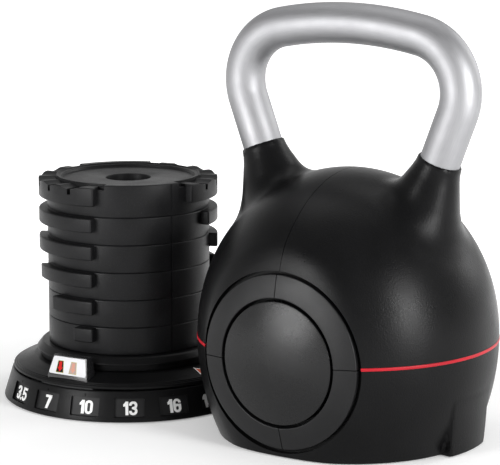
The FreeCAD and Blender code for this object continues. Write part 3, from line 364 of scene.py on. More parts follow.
def hollow_field(points):
    """The inside of the shell, less its disc pans, posts, bosses and foot ribs."""
    x, y, z = points[:, 0], points[:, 1], points[:, 2]
    pan = np.maximum(np.hypot(x, z - DISC_Z) - POCKET_RADIUS - PAN_WALL, DISC_Y - PAN_WALL - np.abs(y))
    posts = np.maximum(np.hypot(np.abs(x) - POST_X, np.abs(y) - POST_Y) - POST_RADIUS, POST_FOOT - z)
    solid = np.minimum(pan, posts)
    for angle in BOSS_ANGLES:
        turn = math.radians(angle)
        boss = np.hypot(x - BOSS_CIRCLE * math.cos(turn), y - BOSS_CIRCLE * math.sin(turn)) - BOSS_RADIUS
        solid = np.minimum(solid, np.maximum(boss, np.abs(z - EQUATOR_Z) - BOSS_HALF))
    for angle in RIB_ANGLES:
        turn = math.radians(angle)
        along = x * math.cos(turn) + y * math.sin(turn)
        across = np.abs(-x * math.sin(turn) + y * math.cos(turn)) - RIB_HALF_WIDTH
        rib = np.maximum(np.maximum(across, RIB_INNER - along), np.abs(z - RIB_Z) - RIB_HALF_HEIGHT)
        solid = np.minimum(solid, rib)
    return np.maximum(np.maximum(body_field(points) + SHELL_WALL, -solid), -5.0 - z)


def surface_net(field, low, high, cell, relax=3):
    """Closed quad mesh of field < 0, with its vertices drawn on to the surface."""
    counts = [int(math.ceil((h - l) / cell)) + 1 for l, h in zip(low, high)]
    axes = [l + cell * np.arange(n) for l, n in zip(low, counts)]
    values = np.empty(counts, np.float64)
    plane_y, plane_z = np.meshgrid(axes[1], axes[2], indexing="ij")
    for i, x in enumerate(axes[0]):
        points = np.stack([np.full(plane_y.size, x), plane_y.ravel(), plane_z.ravel()], 1)
        values[i] = field(points).reshape(plane_y.shape)
    inside = values < 0
    cells = [n - 1 for n in counts]
    total = np.zeros(cells + [3])
    hits = np.zeros(cells)
    crossings = []
    for axis in range(3):
        near = [slice(None)] * 3
        far = [slice(None)] * 3
        near[axis], far[axis] = slice(0, -1), slice(1, None)
        change = inside[tuple(near)] != inside[tuple(far)]
        index = np.argwhere(change)
        other = [a for a in range(3) if a != axis]
        keep = np.ones(len(index), bool)
        for a in other:
            keep &= (index[:, a] > 0) & (index[:, a] < counts[a] - 1)
        index = index[keep]
        step = np.zeros(3, int)
        step[axis] = 1
        first = values[tuple(index.T)]
        second = values[tuple((index + step).T)]
        share = first / (first - second)
        position = index.astype(float)
        position[:, axis] += share
        crossings.append((axis, index, first < 0))
        for da in (-1, 0):
            for db in (-1, 0):
                cell_index = index.copy()
                cell_index[:, other[0]] += da
                cell_index[:, other[1]] += db
                np.add.at(total, tuple(cell_index.T), position)
                np.add.at(hits, tuple(cell_index.T), 1)
    used = hits > 0
    number = np.full(cells, -1)
    number[used] = np.arange(used.sum())
    verts = total[used] / hits[used][:, None] * cell + np.array(low)
    faces = []
    for axis, index, starts_inside in crossings:
        a, b = (axis + 1) % 3, (axis + 2) % 3
        corners = []
        for da, db in ((-1, -1), (0, -1), (0, 0), (-1, 0)):
            corner = index.copy()
            corner[:, a] += da
            corner[:, b] += db
            corners.append(number[tuple(corner.T)])
        quads = np.stack(corners, 1)
        quads[~starts_inside] = quads[~starts_inside][:, ::-1]
        faces.append(quads)
    reach = 0.05
    for _ in range(relax):
        here = field(verts)
        gradient = np.stack([(field(verts + reach * e) - field(verts - reach * e)) / (2 * reach)
                             for e in np.eye(3)], 1)
        size = np.maximum((gradient ** 2).sum(1), 0.05)
        move = (here / size)[:, None] * gradient
        length = np.linalg.norm(move, axis=1, keepdims=True)
        verts = verts - move * np.minimum(1.0, 0.5 * cell / np.maximum(length, 1e-9))
    return verts, np.concatenate(faces)


# ------------------------------------------------------------------ materials
def principled(name):
    material = bpy.data.materials.new(name)
    material.use_nodes = True
    nodes, links = material.node_tree.nodes, material.node_tree.links
    return material, nodes, links, nodes["Principled BSDF"]


def node(nodes, kind, **values):
    made = nodes.new(kind)
    for key, value in values.items():
        if key in made.inputs:
            made.inputs[key].default_value = value
        else:
            setattr(made, key, value)
    return made


def noise(nodes, links, vector, scale, detail=3.0, roughness=0.5):
    made = node(nodes, "ShaderNodeTexNoise", Scale=scale, Detail=detail, Roughness=roughness)
    links.new(vector, made.inputs["Vector"])
    return made.outputs["Fac"]


def ranged(nodes, links, value, low, high, to_low, to_high):
    made = node(nodes, "ShaderNodeMapRange")
    made.inputs["From Min"].default_value = low
    made.inputs["From Max"].default_value = high
    made.inputs["To Min"].default_value = to_low
    made.inputs["To Max"].default_value = to_high
    links.new(value, made.inputs["Value"])
    return made.outputs["Result"]


def mixed_color(nodes, links, fac, first, second):
    made = node(nodes, "ShaderNodeMix", data_type="RGBA")
    made.inputs["A"].default_value = (*first, 1)
    made.inputs["B"].default_value = (*second, 1)
    links.new(fac, made.inputs["Factor"])
    return made.outputs["Result"]


def bumped(nodes, links, shader, height, depth_mm):
    bump = node(nodes, "ShaderNodeBump", Strength=1.0, Distance=depth_mm * MM)
    links.new(height, bump.inputs["Height"])
    links.new(bump.outputs["Normal"], shader.inputs["Normal"])


def roughened(nodes, links, shader, broad, fine):
    """Roughness as the sum of a broad and a fine variation."""
    uneven = node(nodes, "ShaderNodeMath", operation="ADD")
    links.new(broad, uneven.inputs[0])
    links.new(fine, uneven.inputs[1])
    links.new(uneven.outputs[0], shader.inputs["Roughness"])


def rough_surface(name, color, spread, rough, rough_spread, grain_mm, grain_depth_mm, specular=0.5,
                  cloud_mm=40.0, speckle=0.0, coat=0.0):
    """Moulded, painted or coated surface: fine grain, broad cloudiness, faint speckle and rubbed patches."""
    material, nodes, links, shader = principled(name)
    place = node(nodes, "ShaderNodeTexCoord").outputs["Object"]
    grain = noise(nodes, links, place, 1000.0 / grain_mm, 2.5, 0.6)
    cloud = noise(nodes, links, place, 1000.0 / cloud_mm, 4.0, 0.55)
    tint = mixed_color(nodes, links, ranged(nodes, links, cloud, 0.35, 0.65, 0, 1),
                       [c * (1 - spread) for c in color], [min(1.0, c * (1 + spread)) for c in color])
    if speckle > 0:
        dots = noise(nodes, links, place, 1700.0 / grain_mm, 1.0, 0.5)
        made = node(nodes, "ShaderNodeMix", data_type="RGBA")
        made.inputs["B"].default_value = (*[min(1.0, c * 2.2 + 0.05) for c in color], 1)
        links.new(ranged(nodes, links, dots, 0.6, 0.8, 0, speckle), made.inputs["Factor"])
        links.new(tint, made.inputs["A"])
        tint = made.outputs["Result"]
    links.new(tint, shader.inputs["Base Color"])
    fine = 0.6 * rough_spread
    roughened(nodes, links, shader,
              ranged(nodes, links, cloud, 0.3, 0.7, rough - rough_spread, rough + rough_spread),
              ranged(nodes, links, grain, 0.3, 0.7, -fine, fine))
    bumped(nodes, links, shader, grain, grain_depth_mm)
    shader.inputs["Metallic"].default_value = 0.0
    shader.inputs["Specular IOR Level"].default_value = specular
    shader.inputs["Coat Weight"].default_value = coat
    shader.inputs["Coat Roughness"].default_value = 0.12
    return material


def brushed_metal(name, color, rough, stretch, along="Z", attribute=None):
    """Satin metal whose fine scratches run along one axis, with softer and brighter patches."""
    line_mm, cloud_mm, depth_mm = 0.5, 28.0, 0.004
    material, nodes, links, shader = principled(name)
    if attribute:
        source = node(nodes, "ShaderNodeAttribute", attribute_name=attribute).outputs["Vector"]
    else:
        source = node(nodes, "ShaderNodeTexCoord").outputs["Object"]
    mapping = node(nodes, "ShaderNodeMapping")
    scale = [1.0, 1.0, 1.0]
    scale["XYZ".index(along)] = 1.0 / stretch
    mapping.inputs["Scale"].default_value = scale
    links.new(source, mapping.inputs["Vector"])
    lines = noise(nodes, links, mapping.outputs["Vector"], 1000.0 / line_mm, 3.0, 0.6)
    cloud = noise(nodes, links, source, 1000.0 / cloud_mm, 4.0, 0.6)
    tint = mixed_color(nodes, links, ranged(nodes, links, lines, 0.3, 0.7, 0, 1),
                       [c * 0.9 for c in color], [min(1.0, c * 1.06) for c in color])
    links.new(tint, shader.inputs["Base Color"])
    roughened(nodes, links, shader, ranged(nodes, links, cloud, 0.3, 0.7, rough - 0.05, rough + 0.06),
              ranged(nodes, links, lines, 0.3, 0.7, -0.05, 0.05))
    bumped(nodes, links, shader, lines, depth_mm)
    shader.inputs["Metallic"].default_value = 1.0
    return material


def printed_ink(name, color, spread):
    return rough_surface(name, color, spread, 0.5, 0.05, 0.5, 0.008, specular=0.1)


MATERIALS = {
    "tube_steel": brushed_metal("tube_steel", (0.335, 0.335, 0.345), 0.54, 26.0, "Z", attribute="unrolled"),
    "plug_plastic": rough_surface("plug_plastic", (0.06, 0.06, 0.06), 0.2, 0.55, 0.06, 0.8, 0.03),
    "screw_steel": brushed_metal("screw_steel", (0.50, 0.50, 0.49), 0.36, 6.0, "Z"),
    "shell_black": rough_surface("shell_black", (0.0034, 0.0034, 0.0037), 0.14, 0.33, 0.05, 1.3, 0.16,
                                 specular=0.12, cloud_mm=46.0, speckle=0.12),
    "trim_red": rough_surface("trim_red", (0.44, 0.008, 0.018), 0.1, 0.4, 0.05, 0.7, 0.01, specular=0.25),
    "ring_black": rough_surface("ring_black", (0.0060, 0.0060, 0.0065), 0.14, 0.37, 0.05, 0.8, 0.13,
                                specular=0.25, cloud_mm=30.0, speckle=0.2),
    "cap_black": rough_surface("cap_black", (0.0045, 0.0045, 0.0049), 0.12, 0.28, 0.05, 0.8, 0.12,
                               specular=0.3, cloud_mm=34.0, speckle=0.15),
    "carrier_steel": brushed_metal("carrier_steel", (0.30, 0.30, 0.31), 0.42, 18.0, "X"),
    "base_plastic": rough_surface("base_plastic", (0.022, 0.022, 0.023), 0.18, 0.52, 0.06, 0.9, 0.03),
    "rubber_black": rough_surface("rubber_black", (0.016, 0.016, 0.016), 0.2, 0.72, 0.06, 0.8, 0.05,
                                  specular=0.3),
    "plate_coating": rough_surface("plate_coating", (0.0075, 0.0075, 0.0081), 0.2, 0.42, 0.07, 1.0, 0.10,
                                   specular=0.16, cloud_mm=30.0, speckle=0.35),
    "dock_black": rough_surface("dock_black", (0.0040, 0.0040, 0.0043), 0.14, 0.36, 0.05, 0.9, 0.06,
                                specular=0.12, cloud_mm=36.0, speckle=0.1),
    "dial_dark": rough_surface("dial_dark", (0.006, 0.006, 0.0065), 0.15, 0.5, 0.05, 0.7, 0.02,
                               specular=0.3),
    "mark_white": rough_surface("mark_white", (0.83, 0.83, 0.82), 0.03, 0.4, 0.05, 0.6, 0.01),
    "glide_white": rough_surface("glide_white", (0.70, 0.70, 0.67), 0.05, 0.35, 0.05, 0.9, 0.01),
    "pointer_orange": rough_surface("pointer_orange", (0.80, 0.11, 0.02), 0.06, 0.38, 0.05, 0.6, 0.01),
    "spring_steel": brushed_metal("spring_steel", (0.55, 0.55, 0.55), 0.26, 10.0, "X"),
    "button_black": rough_surface("button_black", (0.014, 0.014, 0.015), 0.12, 0.24, 0.05, 0.9, 0.01,
                                  coat=0.4),
    "label_white": rough_surface("label_white", (0.70, 0.70, 0.715), 0.02, 0.4, 0.05, 0.8, 0.012,
                                 specular=0.2),
    "icon_red": printed_ink("icon_red", (0.55, 0.012, 0.008), 0.08),
    "icon_pale": printed_ink("icon_pale", (0.42, 0.33, 0.30), 0.03),
    "icon_pink": printed_ink("icon_pink", (0.60, 0.30, 0.22), 0.03),
    "icon_yellow": printed_ink("icon_yellow", (0.42, 0.36, 0.08), 0.05),
    "icon_ground": printed_ink("icon_ground", (0.006, 0.005, 0.005), 0.12),
}


def colour_cad():
    """The pieces that show as they were made take the material of their slot."""
    for entry in frame["record"]["subparts"]:
        cad_mesh = NODES[entry["node"]].data
        cad_mesh.materials.clear()
        cad_mesh.materials.append(MATERIALS[entry["material_slot"]])


# ------------------------------------------------------------------ bell
BEYOND = 140                 # past the bell's surface on every side
ABOVE = 260                  # past the top of the shell


def half_space(x0, x1, z0, z1):
    return box_mesh(x0, x1, -BEYOND, BEYOND, z0, z1, BELL_X)


def pocket_cutters():
    return [rod_mesh(POCKET_RADIUS, (0, side * DISC_Y, DISC_Z), (0, side * BEYOND, DISC_Z), BELL_X, 256)
            for side in (-1, 1)]


def socket_cutters():
    """Rods along the tube's legs, from inside the shell to above the horns."""
    down, up = 72, 25
    cutters = []
    for side in (-1, 1):
        start = (side * (LEG_X - down * math.tan(LEAN)), 0, HORN_TOP - down)
        end = (side * (LEG_X + up * math.tan(LEAN)), 0, HORN_TOP + up)
        cutters.append(rod_mesh(TUBE_RADIUS + TUBE_PLAY, start, end, BELL_X, 128))
    return cutters


def band_groove():
    low, high = EQUATOR_Z - BAND_HALF, EQUATOR_Z + BAND_HALF
    past_band = BAND_RADIUS + 8
    outline = [(GROOVE_FLOOR, low), (past_band, low), (past_band, high), (GROOVE_FLOOR, high)]
    return lathe("groove", outline, BELL_X)


def build_shells():
    cell = 2.2
    low, high = (-131, -131, -8), (131, 131, 243)
    mesh = mesh_from("shell", *surface_net(outer_field, low, high, cell), BELL_X)
    hollow = mesh_from("hollow", *surface_net(hollow_field, low, high, cell), BELL_X)
    for cutter in [hollow] + pocket_cutters() + socket_cutters() + [band_groove()]:
        mesh = boolean(mesh, cutter, "DIFFERENCE")
    spaces = {"upper_shell_right": half_space(SHELL_SEAM, BEYOND, EQUATOR_Z, ABOVE),
              "upper_shell_left": half_space(-BEYOND, -SHELL_SEAM, EQUATOR_Z, ABOVE),
              "lower_shell": half_space(-BEYOND, BEYOND, SHELL_BOTTOM, EQUATOR_Z)}
    for name, space in spaces.items():
        part = boolean(mesh, space, "INTERSECT")
        shade(part, 32)
        new_object("skin_" + name, part, "bell", MATERIALS["shell_black"], [name])


def build_bands():
    inner = GROOVE_FLOOR + 0.1
    low, high = EQUATOR_Z - BAND_HALF + BAND_PLAY, EQUATOR_Z + BAND_HALF - BAND_PLAY
    outline = rounded([(inner, low, 0), (BAND_RADIUS, low, 0.6), (BAND_RADIUS, high, 0.6),
                       (inner, high, 0)], 0)
    for name, start in (("trim_band_right", -60), ("trim_band_left", 120)):
        mesh = lathe(name, outline, BELL_X, start, 120, 300)
        for cutter in pocket_cutters():
            mesh = boolean(mesh, cutter, "DIFFERENCE")
        shade(mesh, 40)
        new_object("skin_" + name, mesh, "bell", MATERIALS["trim_red"], [name])


def dome_profile():
    """The cap's spherical face from its edge to its middle; the edge itself is eased."""
    steps = 28
    sphere = (CAP_RADIUS ** 2 + CAP_RISE ** 2) / (2 * CAP_RISE)
    peak = RING_INNER_THICKNESS - CAP_SINK + CAP_RISE
    reach = math.asin(CAP_RADIUS / sphere)
    dome = []
    for k in range(steps + 1):
        turn = reach * (1 - k / steps)
        dome.append((sphere * math.sin(turn), peak - sphere * (1 - math.cos(turn)), 0))
    dome[0] = (dome[0][0], dome[0][1], 0.8)
    dome[-1] = (0.0, dome[-1][1], 0)
    return dome


def build_discs():
    edge, inner = DISC_RADIUS - 0.5, RING_INNER + 0.3
    ring_outline = rounded([(inner, 0, 0.1), (edge, 0, 0.1), (edge, DISC_THICKNESS, 1.0),
                            (inner, RING_INNER_THICKNESS, 0.8)], 0.5)
    cap_outline = rounded([(0.0, 0.0, 0), (CAP_RADIUS, 0.0, 0.2)] + dome_profile(), 0)
    quadrants = ["upper_right", "upper_left", "lower_left", "lower_right"]
    for side, side_name in ((-1, "front"), (1, "rear")):
        for k, corner in enumerate(quadrants):
            start = (90 * k if side < 0 else -90 * (k + 1)) + RING_TURN
            mesh = lathe("ring", ring_outline, 0.0, start + RING_SPLIT / 2, 90 - RING_SPLIT, 360)
            shade(stood_about_disc(mesh, side), 40)
            name = "%s_ring_%s" % (side_name, corner)
            new_object("skin_" + name, mesh, "bell", MATERIALS["ring_black"], [name])
        mesh = lathe("cap", cap_outline, 0.0, segments=256)
        shade(stood_about_disc(mesh, side), 40)
        new_object("skin_%s_cap" % side_name, mesh, "bell", MATERIALS["cap_black"],
                   [side_name + "_cap"])


def handle_line():
    """Points and in-plane normals along the tube's centreline, from the left foot to the right foot."""
    arch = (GRIP_HALF ** 2 + GRIP_RISE ** 2) / (2 * GRIP_RISE)
    slope = math.asin(GRIP_HALF / arch)
    corner_x = GRIP_HALF - CORNER * math.sin(slope)
    corner_z = GRIP_TOP - GRIP_RISE - CORNER * math.cos(slope)
    leg_turn = math.pi / 2 + LEAN
    half = [(arch * math.sin(t), GRIP_TOP - arch * (1 - math.cos(t)), t)
            for t in np.linspace(0, slope, 40, endpoint=False)]
    half += [(corner_x + CORNER * math.sin(t), corner_z + CORNER * math.cos(t), t)
             for t in np.linspace(slope, leg_turn, 72)]
    end_x, end_z, _ = half[-1]
    leg_steps = 40
    for k in range(1, leg_steps + 1):
        z = end_z + (TUBE_FOOT_Z - end_z) * k / leg_steps
        half.append((end_x - (end_z - z) * math.tan(LEAN), z, leg_turn))
    left = [(-x, z, -t) for x, z, t in half[:0:-1]]
    return left + half


def build_handle():
    around = 96
    line = handle_line()
    verts, unrolled, faces = [], [], []
    travelled = 0.0
    for i, (x, z, turn) in enumerate(line):
        if i:
            travelled += math.hypot(x - line[i - 1][0], z - line[i - 1][1])
        out_x, out_z = math.sin(turn), math.cos(turn)
        for k in range(around):
            angle = 2 * math.pi * k / around
            lift, side = TUBE_RADIUS * math.cos(angle), TUBE_RADIUS * math.sin(angle)
            verts.append((x + out_x * lift, side, z + out_z * lift))
            unrolled.append((lift * MM, side * MM, travelled * MM))
    rings = len(line)
    for i in range(rings - 1):
        for k in range(around):
            j = (k + 1) % around
            here, after = i * around, (i + 1) * around
            faces.append((here + k, here + j, after + j, after + k))
    faces.append(tuple(range(around - 1, -1, -1)))
    faces.append(tuple((rings - 1) * around + k for k in range(around)))
    mesh = mesh_from("tube", verts, faces, BELL_X)
    layer = mesh.attributes.new("unrolled", "FLOAT_VECTOR", "POINT")
    layer.data.foreach_set("vector", np.array(unrolled, np.float32).ravel())
    shade(facing_out(mesh), 40)
    new_object("skin_handle_tube", mesh, "bell", MATERIALS["tube_steel"], ["handle_tube"])


# ------------------------------------------------------------------ plates
def moved(mesh, z_mm):
    for vertex in mesh.vertices:
        vertex.co.z += z_mm * MM
    return mesh


def bevelled(mesh, width_mm, segments=3, angle_deg=30.0):
    """The mesh with its sharper edges eased."""
    obj = temporary(mesh)
    step = obj.modifiers.new("ease", "BEVEL")
    step.width = width_mm * MM
    step.segments = segments
    step.limit_method = "ANGLE"
    step.angle_limit = math.radians(angle_deg)
    step.use_clamp_overlap = True
    result = baked(obj)
    bpy.data.objects.remove(obj)
    return result


def plate_outline(height, is_lowest, is_top):
    bore = BORE_RADIUS if is_top else LOWER_BORE_RADIUS
    groove_inner, groove_outer = NEST_INNER - NEST_PLAY, NEST_OUTER + NEST_PLAY
    under = [] if is_lowest else [(groove_inner, 0, 0.4), (groove_inner, NEST_DEPTH, 0.4),
                                  (groove_outer, NEST_DEPTH, 0.4), (groove_outer, 0, 0.4)]
    if is_top:
        floor = height - DISH_DEPTH
        over = [(DISH_RIM, height, 0.5), (DISH_RIM - 0.7, height - 1.2, 0.3), (58.8, height - 1.2, 0.4),
                (58.0, floor, 0.6), (bore, floor, 0.8)]
    else:
        over = [(NEST_OUTER, height, 0.2), (NEST_OUTER, height + NEST_HEIGHT, 0.6),
                (NEST_INNER, height + NEST_HEIGHT, 0.6), (NEST_INNER, height, 0.2), (bore, height, 0.7)]
    rim = [(PLATE_RADIUS, 0, PLATE_EASE), (PLATE_RADIUS, height, PLATE_EASE)]
    return rounded([(bore, 0, 0.7)] + under + rim + over, 0.5)


def block_ring(inner, bottom, top, start, sweep):
    """Part of a ring that reaches past the tabs, as a cutting tool."""
    outline = [(inner, bottom), (PAST_TABS, bottom), (PAST_TABS, top), (inner, top)]
    return lathe("tool", outline, DOCK_X, start, sweep)


def crown_cuts(height, length):
    """Tools that turn the top plate's tabs into a crown of blocks, stepped down from the rim beside it."""
    top = height - CROWN_DROP
    cuts = []
    for base in (0, 180):
        end = TOP_TAB_END + base
        start = end - length
        cuts.append(block_ring(DISH_RIM, top, height + 1, start - STEP_ARC, length + 2 * STEP_ARC))
        for step_start in (start - STEP_ARC, end + 0.05):
            cuts.append(block_ring(STEP_INNER, height - STEP_DEPTH, height + 1, step_start, STEP_ARC - 0.05))
        for k in range(1, PLATES):
            angle = end - TAB_STEP * k + SLOT_LEAD
            cuts.append(box_mesh(DISH_RIM, PAST_TABS, -SLOT_WIDTH / 2, SLOT_WIDTH / 2, top - SLOT_DEPTH,
                                 height + 2, DOCK_X, angle))
            cos, sin = math.cos(math.radians(angle)), math.sin(math.radians(angle))
            axis_z = top - SCOOP_DEPTH + SCOOP_RADIUS
            cuts.append(rod_mesh(SCOOP_RADIUS, (DISH_RIM * cos, DISH_RIM * sin, axis_z),
                                 (PAST_TABS * cos, PAST_TABS * sin, axis_z), DOCK_X, 240))
    return cuts


def plate_mesh(height, k, is_top):
    """Plate k counted from the lowest, standing on z = 0, with its two tabs."""
    length = SHORTEST_TAB + TAB_STEP * k
    end = TOP_TAB_END if is_top else TAB_END
    low = TOP_TAB_BOTTOM if is_top else TAB_BOTTOM
    high = height - (CROWN_DROP if is_top else TAB_DROP)
    root = PLATE_RADIUS - 3
    mesh = lathe("plate", plate_outline(height, k == 0, is_top), DOCK_X, 0, 360, 256)
    for base in (0, 180):
        flat = [(root, low), (TAB_RADIUS, low), (TAB_RADIUS, high), (root, high)]
        tab = lathe("tab", flat, DOCK_X, end + base - length, length, 256)
        mesh = boolean(mesh, bevelled(tab, 1.2, 4), "UNION")
    mark = box_mesh(PLATE_RADIUS - MARK_DEPTH, PLATE_RADIUS + 2, -MARK_HALF, MARK_HALF, -1, height + 1,
                    DOCK_X, MARK_DEG)
    mesh = boolean(mesh, mark, "DIFFERENCE")
    if is_top:
        for cutter in crown_cuts(height, length):
            mesh = boolean(mesh, cutter, "DIFFERENCE")
    return mesh


def build_plates():
    for k in range(PLATES):
        node_name = "weight_plate_%d" % (k + 1)
        is_top = k == PLATES - 1
        low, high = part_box(node_name)
        bottom = low.z / MM
        top = high.z / MM if is_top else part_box("weight_plate_%d" % (k + 2))[0].z / MM
        mesh = plate_mesh(top - bottom, k, is_top)
        shade(moved(mesh, bottom), 30)
        new_object("skin_" + node_name, mesh, "plate_%d" % (k + 1),
                   MATERIALS["plate_coating"], [node_name])


# ------------------------------------------------------------------ dock
def dial_angles():
    return [DIAL_END - DIAL_PITCH * k for k in range(NUMBERS)]


def build_skirt():
    under_lip = 102.56
    outline = rounded([(DOCK_RADIUS - SKIRT_WALL, SHELL_BOTTOM, 0.2), (DOCK_RADIUS, SHELL_BOTTOM, 0.7),
                       (DIAL_TOP_RADIUS, DIAL_TOP, 1.5), (LIP_RADIUS, DIAL_TOP, 0.6),
                       (LIP_RADIUS, DIAL_TOP - LIP_DEPTH, 0.2), (under_lip, DIAL_TOP - LIP_DEPTH, 0.2)], 0.4)
    mesh = lathe("skirt", outline, DOCK_X, 0, 360, 256)
    for angle in dial_angles():
        window = box_mesh(103, 130, -WINDOW_WIDTH / 2, WINDOW_WIDTH / 2, WINDOW_Z - WINDOW_HEIGHT / 2,
                          WINDOW_Z + WINDOW_HEIGHT / 2, DOCK_X, angle)
        mesh = boolean(mesh, bevelled(window, 0.8), "DIFFERENCE")
        tick = box_mesh(TICK_INNER, 120, -TICK_HALF, TICK_HALF, TICK_LOW, TICK_HIGH, DOCK_X, angle)
        mesh = boolean(mesh, tick, "DIFFERENCE")
    shade(mesh, 32)
    new_object("skin_dial_skirt", mesh, "dock", MATERIALS["dock_black"], ["dial_skirt"])


def build_seat():
    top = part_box("weight_plate_1")[0].z / MM
    outline = rounded([(0, SEAT_FOOT, 0), (SEAT_FOOT_RADIUS, SEAT_FOOT, 0.2),
                       (SEAT_FOOT_RADIUS, SEAT_LEDGE, 0.3),
                       (SEAT_NECK, SEAT_LEDGE, 0.2), (SEAT_NECK, SEAT_SHOULDER, 0.2),
                       (SEAT_NECK + 3, SEAT_SHOULDER, 0.3), (SEAT_NECK + 3, SEAT_SHOULDER + 1.2, 0.5),
                       (78.6, top - 1.2, 1.0), (77.2, top, 0.6), (0, top, 0)], 0.3)
    mesh = lathe("seat", outline, DOCK_X, 0, 360, 256)
    shade(mesh, 32)
    new_object("skin_stack_seat", mesh, "dock", MATERIALS["dock_black"], ["stack_seat"])


def build_turntable():
    """Smooth sloping disc with a double bead near its rim and a slot for the button."""
    outline = rounded([(TURNTABLE_BORE, 31.8, 0.2), (TURNTABLE_BORE, TURNTABLE_TOP, 0.4),
                       (84.5, TURNTABLE_TOP, 5.0), (93.0, 33.8, 9.0), (99.6, 31.75, 0.3),
                       (99.95, 30.9, 0.3), (100.5, 31.0, 0.3), (101.15, 30.9, 0.3), (101.5, 30.1, 0.3),
                       (102.5, 30.0, 0.4), (103.0, 29.2, 0.5), (103.0, 27.4, 0.4), (99.0, 27.4, 0.4),
                       (92.0, 29.2, 1.0), (84.0, 31.8, 1.0)], 0.4)
    mesh = lathe("disc", outline, DOCK_X, 0, 360, 256)
    half = BUTTON_HALF + BUTTON_GAP
    slot = box_mesh(BUTTON_BACK - BUTTON_GAP, BUTTON_FRONT + BUTTON_GAP, -half, half, 12, 60,
                    DOCK_X, BUTTON_DEG)
    mesh = boolean(mesh, slot, "DIFFERENCE")
    shade(mesh, 32)
    new_object("skin_turntable", mesh, "turntable", MATERIALS["dock_black"], ["turntable"])


def eased_copy(node_name, body, slot_name, width_mm, segments=3):
    """A CAD piece with flat faces, with its edges rounded."""
    loose = bmesh.new()
    loose.from_mesh(NODES[node_name].data)
    bmesh.ops.remove_doubles(loose, verts=loose.verts, dist=2e-6)
    bmesh.ops.dissolve_limit(loose, angle_limit=math.radians(0.5), verts=loose.verts, edges=loose.edges)
    mesh = bpy.data.meshes.new(node_name)
    loose.to_mesh(mesh)
    loose.free()
    mesh = bevelled(mesh, width_mm, segments, 25.0)
    shade(mesh, 35)
    return new_object("skin_" + node_name, mesh, body, MATERIALS[slot_name], [node_name])


def on_face(name, outline, base, thickness, corner=0.0):
    """Closed thin plate on the button's sloping face, from (across, up) corners in millimetres."""
    foot = Vector((BUTTON_FRONT, 0, BUTTON_FOOT_Z))
    up = (Vector((BUTTON_SHOULDER, 0, BUTTON_TOP_Z)) - foot).normalized()
    out = Vector((up.z, 0, -up.x))
    turn = math.radians(BUTTON_DEG)
    cos, sin = math.cos(turn), math.sin(turn)
    ends = rounded(outline, corner, 6) if corner else outline
    verts = []
    for level in (base, base + thickness):
        for across, along in ends:
            p = foot + up * along + out * level + Vector((0, across, 0))
            verts.append((cos * p.x - sin * p.y, sin * p.x + cos * p.y, p.z))
    count = len(ends)
    faces = [tuple(range(count)), tuple(range(2 * count - 1, count - 1, -1))]
    faces += [(k, k + count, (k + 1) % count + count, (k + 1) % count) for k in range(count)]
    return facing_out(mesh_from(name, verts, faces, DOCK_X))


def pictogram(side, centre, film, ground, mark):
    """Tapered field with a dark edge and an arrow that points down, on the label's film."""
    low, high, half_low, half_high, edge = 3.6, 14.0, 4.0, 2.8, 0.4
    outline = [(centre - half_low, low), (centre + half_low, low),
               (centre + half_high, high), (centre - half_high, high)]
    half_low, half_high = half_low - 0.45, half_high - 0.35
    inner = [(centre - half_low, low + edge), (centre + half_low, low + edge),
             (centre + half_high, high - edge), (centre - half_high, high - edge)]
    tip, neck, tail, stem, barb = 4.5, 8.2, 13.0, 1.4, 2.7
    arrow = [(centre, tip), (centre + barb, neck), (centre + stem, neck), (centre + stem, tail),
             (centre - stem, tail), (centre - stem, neck), (centre - barb, neck)]
    new_object("icon_edge_" + side, on_face("edge", outline, film, 0.04), "button",
               MATERIALS["icon_yellow"])
    new_object("icon_field_" + side, on_face("field", inner, film, 0.08), "button",
               MATERIALS[ground], ["icon_plates"])
    new_object("icon_arrow_" + side, on_face("arrow", arrow, film, 0.14), "button",
               MATERIALS[mark], ["icon_arrows"])


def build_label():
    """White film on the button with its two pictograms: a lit one at the left and a pale one at the right."""
    slope = math.hypot(BUTTON_FRONT - BUTTON_SHOULDER, BUTTON_TOP_Z - BUTTON_FOOT_Z)
    margin, film, corner = 1.1, 0.5, 1.5
    low, high = 2.2, slope - margin
    half_top, half = BUTTON_HALF - BUTTON_TAPER - margin, BUTTON_HALF - margin
    outline = [(-half, low), (half, low), (half_top, high), (-half_top, high)]
    mesh = bevelled(on_face("label", outline, 0, film, corner), 0.12, 2)
    shade(mesh, 40)
    new_object("skin_button_label", mesh, "button", MATERIALS["label_white"], ["button_label"])
    pictogram("left", -8.2, film, "icon_ground", "icon_red")
    pictogram("right", 5.2, film, "icon_pale", "icon_pink")


# ------------------------------------------------------------------ stage
def bell_point(right, away, z):
    """Point in metres from the bell's axis, along the camera's right and away directions."""
    row = math.radians(CAMERA_ROW)
    x = right * math.cos(row) - away * math.sin(row)
    y = right * math.sin(row) + away * math.cos(row)
    return Vector((BELL_X + x * MM, y * MM, z * MM))


def aimed(obj, place, target):
    SCENE.collection.objects.link(obj)
    obj.rotation_mode = "QUATERNION"
    obj.location = place
    obj.rotation_quaternion = (target - place).to_track_quat("-Z", "Y")


def build_camera():
    camera = bpy.data.objects.new("camera", bpy.data.cameras.new("camera"))
    camera.data.lens = LENS_MM
    camera.data.sensor_width = SENSOR_MM
    camera.data.clip_start, camera.data.clip_end = 0.1, 30.0
    ahead = 1000.0
    drop = ahead * math.tan(math.radians(CAMERA_PITCH))
    aimed(camera, bell_point(CAMERA_RIGHT, CAMERA_AWAY, CAMERA_HEIGHT),
          bell_point(CAMERA_RIGHT, CAMERA_AWAY + ahead, CAMERA_HEIGHT - drop))
    SCENE.camera = camera


def either(nodes, links, first, second):
    made = node(nodes, "ShaderNodeMath", operation="MAXIMUM")
    links.new(first, made.inputs[0])
    links.new(second, made.inputs[1])
    return made.outputs[0]


